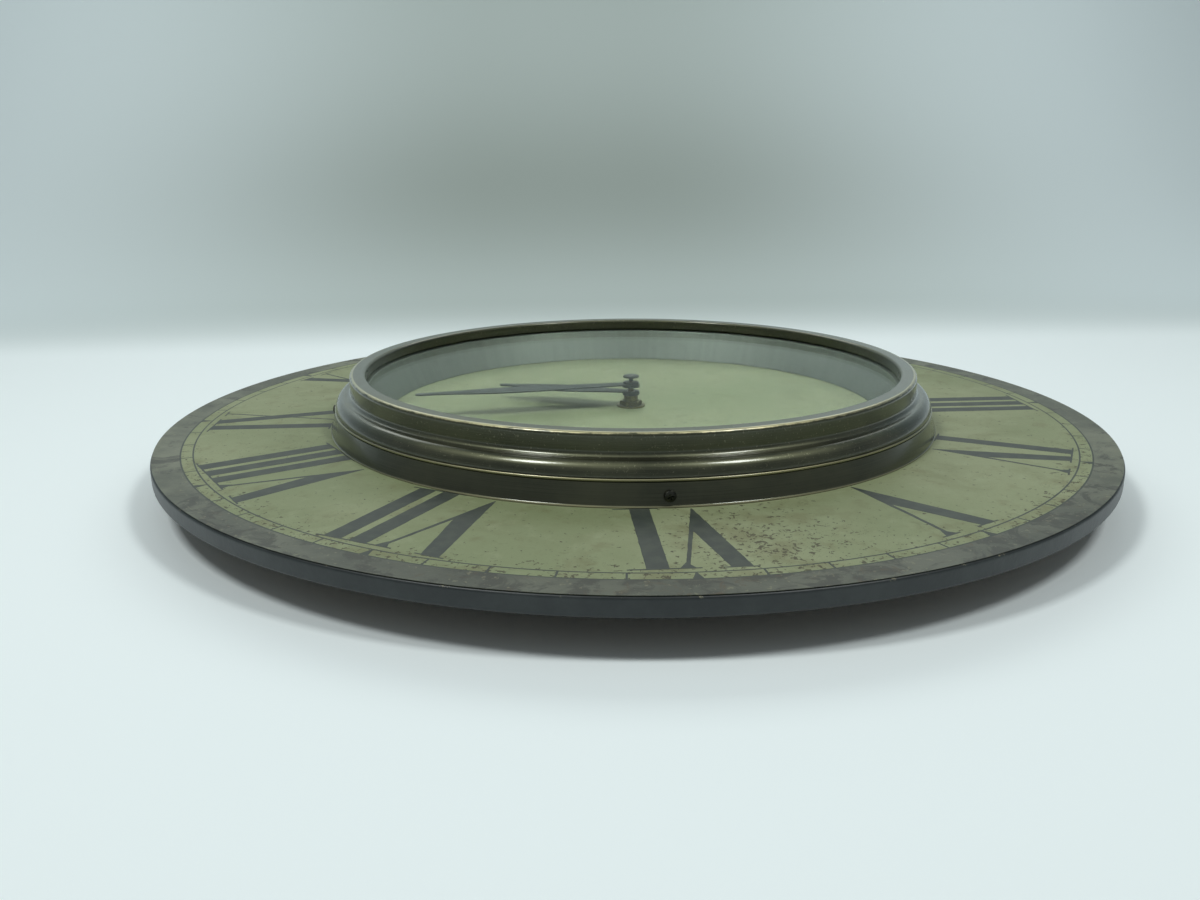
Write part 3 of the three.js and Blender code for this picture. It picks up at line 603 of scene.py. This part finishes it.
def grainy_look(name, dark, pale, roughness, grain, depth):
    """A non-metal with fine grain: plastic, rubber, felt, enamel."""
    look = Look(name)
    field = look.noise(grain, 4, 0.6)
    look.feed("Base Color", look.mix(field, tone(*dark), tone(*pale)))
    spread = look.math("MULTIPLY", look.noise(grain * 0.1, 3), 0.14)
    look.feed("Roughness", look.math("ADD", spread, roughness - 0.07))
    look.bump(field, depth)
    return look


PARCHMENT = parchment_look("parchment").material
INNER_PARCHMENT = parchment_look("inner_parchment", (124, 132)).material
INK = ink_look().material
BORDER = border_look().material
BOARD = board_look().material
BEZEL = bezel_look().material
SIGHT_RING = sight_ring_look().material
HAND = hand_look().material
GLASS = glass_look().material
SLOT_LOOKS = {
    "fibreboard": BOARD,
    "parchment_print": PARCHMENT,
    "antique_brass": BEZEL,
    "wood": wood_look().material,
    "dark_steel": metal_look("dark_steel", (62, 64, 60), (92, 92, 84), 0.4).material,
    "glass": GLASS,
    "grey_metal": metal_look("grey_metal", (128, 132, 130), (168, 172, 168), 0.34).material,
    "brass": metal_look("brass", (112, 108, 78), (150, 144, 106), 0.36).material,
    "hand_black": HAND,
    "white_plastic": grainy_look(
        "white_plastic", (206, 202, 190), (226, 222, 212), 0.42, 800, 0.01
    ).material,
    "magnet": metal_look("magnet", (58, 60, 62), (84, 86, 88), 0.45).material,
    "copper": metal_look("copper", (150, 84, 50), (190, 116, 74), 0.35, 900).material,
    "circuit": grainy_look("circuit", (30, 74, 48), (46, 96, 62), 0.5, 300, 0.02).material,
    "battery_can": metal_look("battery_can", (112, 118, 124), (140, 146, 150), 0.3).material,
    "black_plastic": grainy_look(
        "black_plastic", (28, 30, 31), (44, 46, 46), 0.5, 1500, 0.04
    ).material,
    "rubber": grainy_look("rubber", (26, 26, 26), (40, 40, 38), 0.8, 700, 0.03).material,
    "felt": grainy_look("felt", (34, 46, 38), (58, 74, 60), 0.95, 1800, 0.25).material,
}

# ---------------------------------------------------------------- camera and light

CAMERA_DISTANCE = 0.56679
CAMERA_HEIGHT = 0.14175
VIEW_TURN = 5.7
CAMERA_YAW = 1.798
CAMERA_PITCH = -16.203
CAMERA_ROLL = 0.331
LENS = 30.5505
SENSOR = 36.0


def add_camera():
    data = bpy.data.cameras.new("camera")
    data.sensor_width = SENSOR
    data.lens = LENS
    data.clip_start = 0.01
    camera = bpy.data.objects.new("camera", data)
    bpy.context.collection.objects.link(camera)
    x, y = polar(CAMERA_DISTANCE, 270 - VIEW_TURN)
    turn = about("Z", CAMERA_YAW - VIEW_TURN) @ about("X", CAMERA_PITCH) @ about("Y", CAMERA_ROLL)
    place = Matrix.Translation((x, y, DIAL_TOP * MM + CAMERA_HEIGHT))
    camera.matrix_world = place @ turn @ about("X", 90)
    bpy.context.scene.camera = camera


def add_lamp(name, place, turn, size, power, colour):
    data = bpy.data.lights.new(name, "AREA")
    data.shape = "RECTANGLE"
    data.size, data.size_y = size
    data.energy = power
    data.color = colour
    lamp = bpy.data.objects.new(name, data)
    bpy.context.collection.objects.link(lamp)
    lamp.matrix_world = Matrix.Translation(place) @ turn


FLOOR_TONE = tone(239, 247, 248, 1.0)
# Painted shade on the floor and backdrop: tones by distance behind the clock
FADE = (
    (0.33, FLOOR_TONE),
    (0.55, tone(176, 187, 184, 1.0)),
    (0.82, tone(150, 160, 155, 1.0)),
    (1.05, tone(174, 185, 182, 1.0)),
)
SIDE_TONE = tone(226, 238, 241, 1.0)


BEND_START = 0.40
BEND = 0.75
STAGE_HEIGHT = 3.2
STAGE_REACH = 4.0
FLOOR_GAP = 0.0003


def add_stage():
    """A pale floor that curves up into a plain backdrop, with painted shade darkest behind the
    clock and painted light to the sides.
    """
    bent = [(BEND_START + x, BEND + y) for x, y in arc(0, 0, BEND, -90, 0, 24)]
    profile = [(-STAGE_REACH, 0.0), (BEND_START, 0.0), *bent[1:]]
    profile.append((BEND_START + BEND, STAGE_HEIGHT))
    bm = bmesh.new()
    rows = [
        [bm.verts.new((side * STAGE_REACH, y, z - FLOOR_GAP)) for side in (-1, 1)]
        for y, z in profile
    ]
    for one, other in zip(rows, rows[1:]):
        bm.faces.new((one[0], one[1], other[1], other[0]))
    sweep = mesh_object("backdrop", bm)
    sweep.data.polygons.foreach_set("use_smooth", [True] * len(sweep.data.polygons))
    look = Look("backdrop", Roughness=0.9)
    x, y, _ = look.parts()
    # Painted shade and light: the colour darkens along Y into the backdrop and is lighter towards
    # the sides
    colour = FLOOR_TONE
    for (near, _), (far, shade) in zip(FADE, FADE[1:]):
        colour = look.mix(look.step(y, near, far), colour, shade)
    wide = look.step(look.math("ABSOLUTE", x), 0.08, 0.8)
    behind = look.math("MULTIPLY", wide, look.step(y, FADE[0][0], FADE[1][0]))
    colour = look.mix(look.math("MULTIPLY", behind, 0.8), colour, SIDE_TONE)
    look.feed("Base Color", colour)
    sweep.data.materials.append(look.material)


def aimed(place, target):
    """The turn that points a lamp at a spot."""
    return (Vector(target) - Vector(place)).to_track_quat("-Z", "Y").to_matrix().to_4x4()


LAMP_COLOUR = (0.97, 1.0, 0.985)
LAMPS = (
    ("left_box", (-0.62, -0.38, 1.2), (0.24, 0.3), 6.4),
    ("right_box", (0.57, -0.46, 1.2), (0.24, 0.3), 5.6),
    ("rear_box", (0, 0.9, 0.95), (1.8, 0.5), 5.4),
)
FILL_COLOUR = (0.83, 0.92, 0.95, 1)
FILL_STRENGTH = 0.23


def add_light():
    """Soft boxes to the left and right of the viewer and a broad one behind the clock."""
    for name, place, size, power in LAMPS:
        add_lamp(name, place, aimed(place, (0, 0, 0)), size, power, LAMP_COLOUR)
    world = bpy.data.worlds.new("room")
    world.use_nodes = True
    fill = world.node_tree.nodes["Background"]
    fill.inputs[0].default_value = FILL_COLOUR
    fill.inputs[1].default_value = FILL_STRENGTH
    bpy.context.scene.world = world
    bpy.context.scene.view_settings.view_transform = "Standard"


# ---------------------------------------------------------------- dial and its print

LINE = 0.75
NUMERAL_FOOT = 165.9
NUMERAL_HEIGHT = 64.2
STROKE = 8.4
HAIRLINE = 1.4
SERIF = 0.85
SERIF_REACH = 3.6
PRINT_RISE = 0.03
STROKE_LIFT = 0.003


def wavering(outline, swing=0.22, seed=0.0):
    """An outline with its long edges cut short and shifted a little, as in rubbed print."""
    spots = []
    for i, (x, y) in enumerate(outline):
        here, ahead = Vector((x, y)), Vector(outline[(i + 1) % len(outline)])
        count = max(1, int((ahead - here).length / 2.5))
        for k in range(count):
            spot = here.lerp(ahead, k / count)
            shift = noise.noise_vector((spot.x * 0.28, spot.y * 0.28, seed))
            spots.append((spot.x + shift.x * swing, spot.y + shift.y * swing))
    return spots


def bar(left, right, level):
    return [(left, level), (right, level), (right, level + SERIF), (left, level + SERIF)]


def letter_i(middle, _):
    half = STROKE / 2
    return [[(middle - half, 0), (middle + half, 0),
             (middle + half, NUMERAL_HEIGHT), (middle - half, NUMERAL_HEIGHT)]]


def letter_v(middle, width):
    """A thick left stroke, a thin right one, and their serifs at the outer end."""
    left, right = middle - width / 2, middle + width / 2
    apex = left + width * 0.525
    foot = 1.8
    counter = (left + width * 0.66, 28.0)
    head = NUMERAL_HEIGHT
    strokes = [
        [(left, head), (apex - 0.3, foot), (apex + 0.3, foot), (right, head),
         (right - 1.6, head), counter, (left + STROKE * 0.97, head)],
        [(right - 3.9, head), (right - 1.1, head - 5.0), (right - 0.7, head - 5.0),
         (right + 2.0, head)],
        bar(left - SERIF_REACH * 0.6, left + STROKE + SERIF_REACH * 0.7, head),
        bar(right - 1.2 - SERIF_REACH * 1.3, right + SERIF_REACH * 1.2, head),
    ]
    return strokes


def letter_x(middle, width):
    """A thick stroke falling to the right, crossed by a hairline."""
    shift = width / 2 - STROKE / 2
    half, thin, head = STROKE / 2, HAIRLINE / 2, NUMERAL_HEIGHT
    strokes = [
        [(middle + shift - half, 0), (middle + shift + half, 0),
         (middle - shift + half, head), (middle - shift - half, head)],
        [(middle - shift - thin, 0), (middle - shift + thin, 0),
         (middle + shift + thin, head), (middle + shift - thin, head)],
    ]
    for side, level in ((1, 0), (-1, head)):
        centre = middle + side * shift
        left, right = centre - half - SERIF_REACH * 0.6, centre + half + SERIF_REACH * 0.6
        strokes.append(bar(left, right, level))
    for side, level in ((-1, 0), (1, head)):
        centre = middle + side * shift
        strokes.append(bar(centre - SERIF_REACH * 1.4, centre + SERIF_REACH * 1.4, level))
    return strokes


LETTERS = {"I": (letter_i, STROKE), "V": (letter_v, 27.4), "X": (letter_x, 27.0)}
LETTER_GAP = {"II": 3.9, "VI": 5.8, "IV": 4.6, "XI": 4.2, "IX": 4.2, "XX": 4.0}

# The VI is drawn with a narrower V, stands a little off its hour line and has long serifs
NARROW_V = 24.5
SIX_SHIFT = -2.1
SIX_SERIF = 7.0


def numeral(text):
    """The strokes of a Roman numeral, with its foot at the origin and centred on X."""
    spans, cursor = [], 0.0
    for i, letter in enumerate(text):
        width = NARROW_V if text == "VI" and letter == "V" else LETTERS[letter][1]
        spans.append((letter, cursor, cursor + width))
        cursor += width + LETTER_GAP.get(text[i:i + 2], 0)
    middle = spans[-1][2] / 2 - (SIX_SHIFT if text == "VI" else 0)
    strokes = []
    for letter, start, end in spans:
        make = LETTERS[letter][0]
        strokes += make((start + end) / 2 - middle, end - start)
    ones = [(start - middle, end - middle) for letter, start, end in spans if letter == "I"]
    if ones:
        tail = SIX_SERIF if text == "VI" else SERIF_REACH
        first, last = ones[0][0] - SERIF_REACH, ones[-1][1] + tail
        strokes.append(bar(first, last, 0))
        joined = first - SERIF_REACH if text.startswith("VI") else first
        strokes.append(bar(joined, last, NUMERAL_HEIGHT))
    return strokes


NUMERALS = ("XII", "I", "II", "III", "IV", "V", "VI", "VII", "VIII", "IX", "X", "XI")


def ring_band(bm, inner, outer, level):
    turned([(inner, level - 0.1), (outer, level - 0.1), (outer, level), (inner, level)], RING, bm)


def add_dial_print():
    """Numerals, chapter ring, minute ticks and hour wedges, as a thin layer of ink."""
    bm = bmesh.new()
    level = DIAL_TOP + PRINT_RISE
    for hour, text in enumerate(NUMERALS):
        turn = math.radians(-30 * hour)
        for k, stroke in enumerate(numeral(text)):
            outline = []
            for x, y in wavering(stroke, seed=hour * 7.3):
                radius = NUMERAL_FOOT + y
                outline.append((
                    x * math.cos(turn) - radius * math.sin(turn),
                    x * math.sin(turn) + radius * math.cos(turn),
                ))
            slab(outline, level - 0.1, 0.1 + k * STROKE_LIFT, bm=bm)
    ring_band(bm, RING_INNER - LINE / 2, RING_INNER + LINE / 2, level)
    ring_band(bm, RING_OUTER - LINE / 2, RING_OUTER + LINE / 2, level)
    for minute in range(60):
        x0, x1 = RING_INNER + LINE / 2, RING_OUTER - LINE / 2
        near, far = (0.35, 2.0) if minute % 5 == 0 else (0.42, 0.42)
        outline = [(x0, -near), (x1, -far), (x1, far), (x0, near)]
        turn = math.radians(6 * minute + 90)
        outline = [
            (x * math.cos(turn) - y * math.sin(turn), x * math.sin(turn) + y * math.cos(turn))
            for x, y in outline
        ]
        slab(outline, level - 0.1, 0.1, bm=bm)
    piece("outer_dial_ink", bm, INK)
    bm = bmesh.new()
    edge = PRINT_RADIUS - 0.15
    ring_band(bm, RING_OUTER + LINE / 2 - 0.02, edge, level - 0.005)
    piece("outer_dial_border", bm, BORDER)


BOARD_BORE = 4.6
PRINT_MARGIN = 0.7


def add_dials():
    bore = BOARD_BORE
    board = rounded([
        (bore, BOARD_BACK, 0), (BOARD_RADIUS, BOARD_BACK, 1.2), (BOARD_RADIUS, BOARD_TOP, 1.3),
        (bore, BOARD_TOP, 0),
    ], 5)
    piece("dial_board_painted", turned(board), BOARD, stands_for=["dial_board"])
    outer = PRINT_RADIUS - PRINT_MARGIN
    sheet = [(bore, BOARD_TOP), (outer, BOARD_TOP), (outer, DIAL_TOP), (bore, DIAL_TOP)]
    piece("outer_dial_paper", turned(sheet), PARCHMENT,
          stands_for=["outer_dial_print"])
    inner = reach("inner_dial_print")
    sheet = [
        (bore, INNER_BOARD_TOP), (inner, INNER_BOARD_TOP), (inner, INNER_TOP), (bore, INNER_TOP)
    ]
    piece("inner_dial_paper", turned(sheet), INNER_PARCHMENT,
          stands_for=["inner_dial_print"])


# ---------------------------------------------------------------- bezel, glass and sight ring


def bezel_face(depth, bead=False):
    """One face of the spun shell, from its foot to the glass, set in by the given depth."""
    roll_level = DIAL_TOP + SKIRT_HEIGHT
    centre = NECK + COVE
    width = SKIRT_TOP - centre
    cove_level = roll_level + ROLL_HEIGHT + COVE
    face = [(FOOT_RADIUS - depth, DIAL_TOP)]
    if bead:
        face = [
            (FOOT_RADIUS, DIAL_TOP), (FOOT_RADIUS + 0.25, DIAL_TOP + 0.3),
            (FOOT_RADIUS + 0.1, DIAL_TOP + 0.75), (FOOT_RADIUS - 0.2, DIAL_TOP + 1.0),
            (SKIRT_TOP + 0.38, roll_level - 1.5), (SKIRT_TOP - 0.1, roll_level - 1.25),
            (SKIRT_TOP - 0.1, roll_level - 1.1),
            *arc(SKIRT_TOP - 0.1, roll_level - 0.5, 0.6, -75, 75, 8),
            (SKIRT_TOP - 0.35, roll_level + 0.1), (SKIRT_TOP - 0.3, roll_level + 0.3),
        ]
    roll = arc(0, 0, 1, 4 if bead else 0, 90, 16)
    return face + [
        *[(centre + x * (width - depth), roll_level + y * (ROLL_HEIGHT - depth)) for x, y in roll],
        *arc(centre, cove_level, COVE + depth, 270, 180, 8)[1:],
        *arc(NECK - LIP_ROUND, LIP_TOP - LIP_ROUND, LIP_ROUND - depth, 0, 90, 8),
        *arc(OPENING + INNER_ROUND, LIP_TOP - INNER_ROUND, INNER_ROUND - depth, 90, 180, 8),
        (OPENING + depth, GLASS_TOP + 0.3),
    ]


SIGHT_WALL = 0.8
SIGHT_FOOT = 137.4
SIGHT_INSET = 1.2


def add_bezel():
    profile = bezel_face(0, True) + bezel_face(WALL)[::-1]
    piece("bezel_spun", turned(profile, 360), BEZEL, stands_for=["bezel_shell"])

    radius = reach("glass")
    pane = rounded([(0, GLASS_LOW, 0), (radius, GLASS_LOW, 0.3), (radius, GLASS_TOP, 0.3),
                    (0, GLASS_TOP, 0)], 3)
    piece("glass_pane", turned(pane), GLASS, stands_for=["glass"])

    foot, rim = low("sight_ring"), top("sight_ring")
    outer = reach("sight_ring")
    wall = SIGHT_WALL
    in_foot = SIGHT_FOOT
    in_rim = OPENING - SIGHT_INSET
    profile = rounded([
        (in_foot, foot, 0.15), (in_foot + wall, foot, 0.15), (in_rim + wall, rim - wall, 0.5),
        (outer, rim - wall, 0.2), (outer, rim, 0.2), (in_rim, rim, 0.8),
    ], 4)
    piece("sight_ring_formed", turned(profile), SIGHT_RING, stands_for=["sight_ring"])


SCREW_TURNS = {"12": 90, "3": 0, "6": 270, "9": 180}
SCREW_LENGTH = 6.5
SCREW_RADIUS = 1.25
HEAD_RADIUS = 2.6
HEAD_HEIGHT = 1.7
RECESS_SPAN = 2.7
RECESS_WIDTH = 0.55
RECESS_DEPTH = 1.0
RECESS_TURN = 20


def cross(span, width, depth):
    """A cross-shaped recess that goes down from the origin."""
    tools = []
    for turn in (0, 90):
        half, side = span / 2, width / 2
        bm = slab([(-half, -side), (half, -side), (half, side), (-half, side)], -depth, depth + 2)
        tools.append(placed(bm, about("Z", turn)))
    return tools


def add_side_screws():
    """Pan-head screws with a cross recess, round the skirt."""
    steel = SLOT_LOOKS["dark_steel"]
    for hour, turn in SCREW_TURNS.items():
        node = f"bezel_screw_{hour}_oclock"
        corners = [Vector(c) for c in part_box(node)]
        along = Vector(polar(1, turn)).to_3d()
        outer = max(abs(c.dot(along)) for c in corners) / MM
        seat = outer - HEAD_HEIGHT
        level = (corners[0].z + corners[1].z) / 2 / MM
        profile = [
            (0, -SCREW_LENGTH), (SCREW_RADIUS, 0.5 - SCREW_LENGTH), (SCREW_RADIUS, 0.0),
            (HEAD_RADIUS - 0.15, 0.0), (HEAD_RADIUS, 0.15), (HEAD_RADIUS, 0.7),
            (HEAD_RADIUS - 0.25, 1.2), (1.7, 1.55), (0.9, 1.68), (0, HEAD_HEIGHT),
        ]
        bm = turned(profile, 40)
        stand = about("Z", turn) @ about("Y", 90)
        x, y = polar(seat, turn)
        placed(bm, stand, x, y, level)
        crown = Matrix.Translation((0, 0, HEAD_HEIGHT * MM))
        recess = stand @ about("Z", RECESS_TURN) @ crown
        tools = cross(RECESS_SPAN, RECESS_WIDTH, RECESS_DEPTH)
        cutters = [placed(tool, recess, x, y, level) for tool in tools]
        piece(f"side_screw_{hour}", bm, steel, stands_for=[node], cutters=cutters)


# ---------------------------------------------------------------- hands and hub


def bezier(a, b, c, d, steps):
    points = [Vector(p) for p in (a, b, c, d)]
    spots = []
    for i in range(1, steps + 1):
        t = i / steps
        s = 1 - t
        spot = points[0] * s**3 + points[1] * 3 * s * s * t + points[2] * 3 * s * t * t
        spots.append(tuple(spot + points[3] * t**3))
    return spots


LEAF_ROOT = 3.5
LEAF_TIP = 2.3
LEAF_STEPS = 20
COLLAR = 1.3

# Where a leaf's curves pull towards, as shares of its widest place and of its length
ROOT_PULL = 0.45
RISE_PULL = 0.6
FALL_PULL = 1.35
TIP_PULL = 0.8


def leaf(hub, length, width, widest):
    """Outline of a leaf hand along +X with its round hub."""
    root, belly, tip = LEAF_ROOT, width / 2, LEAF_TIP
    at = length * widest
    root_pull, rise_pull = (at * ROOT_PULL, -root), (at * RISE_PULL, -belly)
    fall_pull, tip_pull = (at * FALL_PULL, -belly), (length * TIP_PULL, -tip)
    side = bezier((0, -root), root_pull, rise_pull, (at, -belly), LEAF_STEPS)
    side += bezier((at, -belly), fall_pull, tip_pull, (length - tip, -tip), LEAF_STEPS)
    meets = math.degrees(math.asin(root / hub))
    side = [(x, y) for x, y in side if x > hub]
    nose = arc(length - tip, 0, tip, -90, 90, 12)[1:-1]
    back = arc(0, 0, hub, meets, 360 - meets, 28)
    return side + nose + [(x, -y) for x, y in side[::-1]] + back


def add_hand(name, hub, bore, length, width, widest, clock_angle):
    base, crown = low(name), top(name)
    blade = base + COLLAR
    turn = about("Z", 90 - clock_angle)
    bm = slab(leaf(hub, length, width, widest), blade, crown - blade, 0.14)
    placed(bm, turn)
    hole = turned([(0, base - 1), (bore, base - 1), (bore, crown + 1), (0, crown + 1)], FINE)
    piece(f"{name}_leaf", bm, HAND, body=name, stands_for=[name], cutters=[hole])
    under = blade + 0.02
    collar = rounded([(bore, base, 0.1), (hub, base, 0.2), (hub, under, 0.0), (bore, under, 0)], 3)
    piece(f"{name}_collar", turned(collar, FINE), HAND, body=name)


BUSHING_BORE = 4.3
WASHER_RADIUS = 8.0
HEX_ACROSS = 11
SPINDLE_BORE = 1.75
MINUTE_NUT_RADIUS = 4.4
SHAFT_BORE = 0.65
SLEEVE_RADIUS = 1.2
SLEEVE_HEIGHT = 2.2
CAP_RADIUS = 4.5


def add_hub():
    brass = SLOT_LOOKS["brass"]
    bore = BUSHING_BORE
    washer_low, washer_top = low("dial_washer"), top("dial_washer")
    ring = rounded([
        (bore, washer_low, 0.1), (WASHER_RADIUS, washer_low, 0.1),
        (WASHER_RADIUS, washer_top, 0.25), (bore, washer_top, 0.2),
    ], 4)
    piece("hub_washer", turned(ring, 96), brass, stands_for=["dial_washer"])

    nut_low, nut_top = low("dial_nut"), top("dial_nut")
    corner = HEX_ACROSS / math.sqrt(3)
    hexagon = [polar(corner, 60 * i) for i in range(6)]
    nut = slab(hexagon, nut_low, nut_top - nut_low)
    chamfer = turned([
        (corner - 0.75, nut_top + 0.01), (corner + 1, nut_top - 1.0),
        (corner + 1, nut_top + 1), (corner - 0.75, nut_top + 1),
    ], 96)
    hole = turned([(0, nut_low - 1), (bore, nut_low - 1), (bore, nut_top - 0.5),
                   (bore + 0.6, nut_top + 0.1), (bore + 0.6, nut_top + 1), (0, nut_top + 1)], FINE)
    piece("hub_nut", nut, brass, stands_for=["dial_nut"], cutters=[chamfer, hole],
          sharp=25)

    disc_low, disc_top = low("minute_nut"), top("minute_nut")
    bore, rim = SPINDLE_BORE, MINUTE_NUT_RADIUS
    ring = rounded([
        (bore, disc_low, 0), (rim, disc_low, 0.1), (rim, disc_top, 0.3), (bore, disc_top, 0.2)
    ], 4)
    notch = [(2.9, -0.5), (5, -0.5), (5, 0.5), (2.9, 0.5)]
    slots = [
        placed(slab(notch, disc_top - 0.55, 2), about("Z", turn))
        for turn in (20, 200)
    ]
    piece("minute_nut_slotted", turned(ring, FINE), HAND, body="minute_hand",
          stands_for=["minute_nut"], cutters=slots)

    cap_low, cap_top = low("seconds_cap"), top("seconds_cap")
    sleeve = cap_low + SLEEVE_HEIGHT
    button = rounded([
        (0, sleeve, 0), (SHAFT_BORE, sleeve, 0), (SHAFT_BORE, cap_low, 0),
        (SLEEVE_RADIUS, cap_low, 0.1), (SLEEVE_RADIUS, sleeve, 0.15), (CAP_RADIUS, sleeve, 0.15),
        (CAP_RADIUS, cap_top - 0.35, 0.45), (3.4, cap_top, 0.8), (0, cap_top, 0),
    ], 5)
    piece("seconds_button", turned(button, FINE), HAND, body="seconds_wheel",
          stands_for=["seconds_cap"])


# ---------------------------------------------------------------- carried-over CAD nodes


def finish_nodes():
    """Every CAD node that still shows gets its slot's finish."""
    for entry in frame["record"]["subparts"]:
        for holder in frame["nodes"][entry["node"]].material_slots:
            holder.material = SLOT_LOOKS[entry["material_slot"]]


add_camera()
add_stage()
add_light()
add_dials()
add_dial_print()
add_bezel()
add_side_screws()
add_hand("hour_hand", hub=4.9, bore=2.65, length=79, width=15.4, widest=0.5, clock_angle=288.5)
add_hand("minute_hand", hub=5.0, bore=1.75, length=121, width=13, widest=0.55, clock_angle=262.3)
add_hub()
finish_nodes()
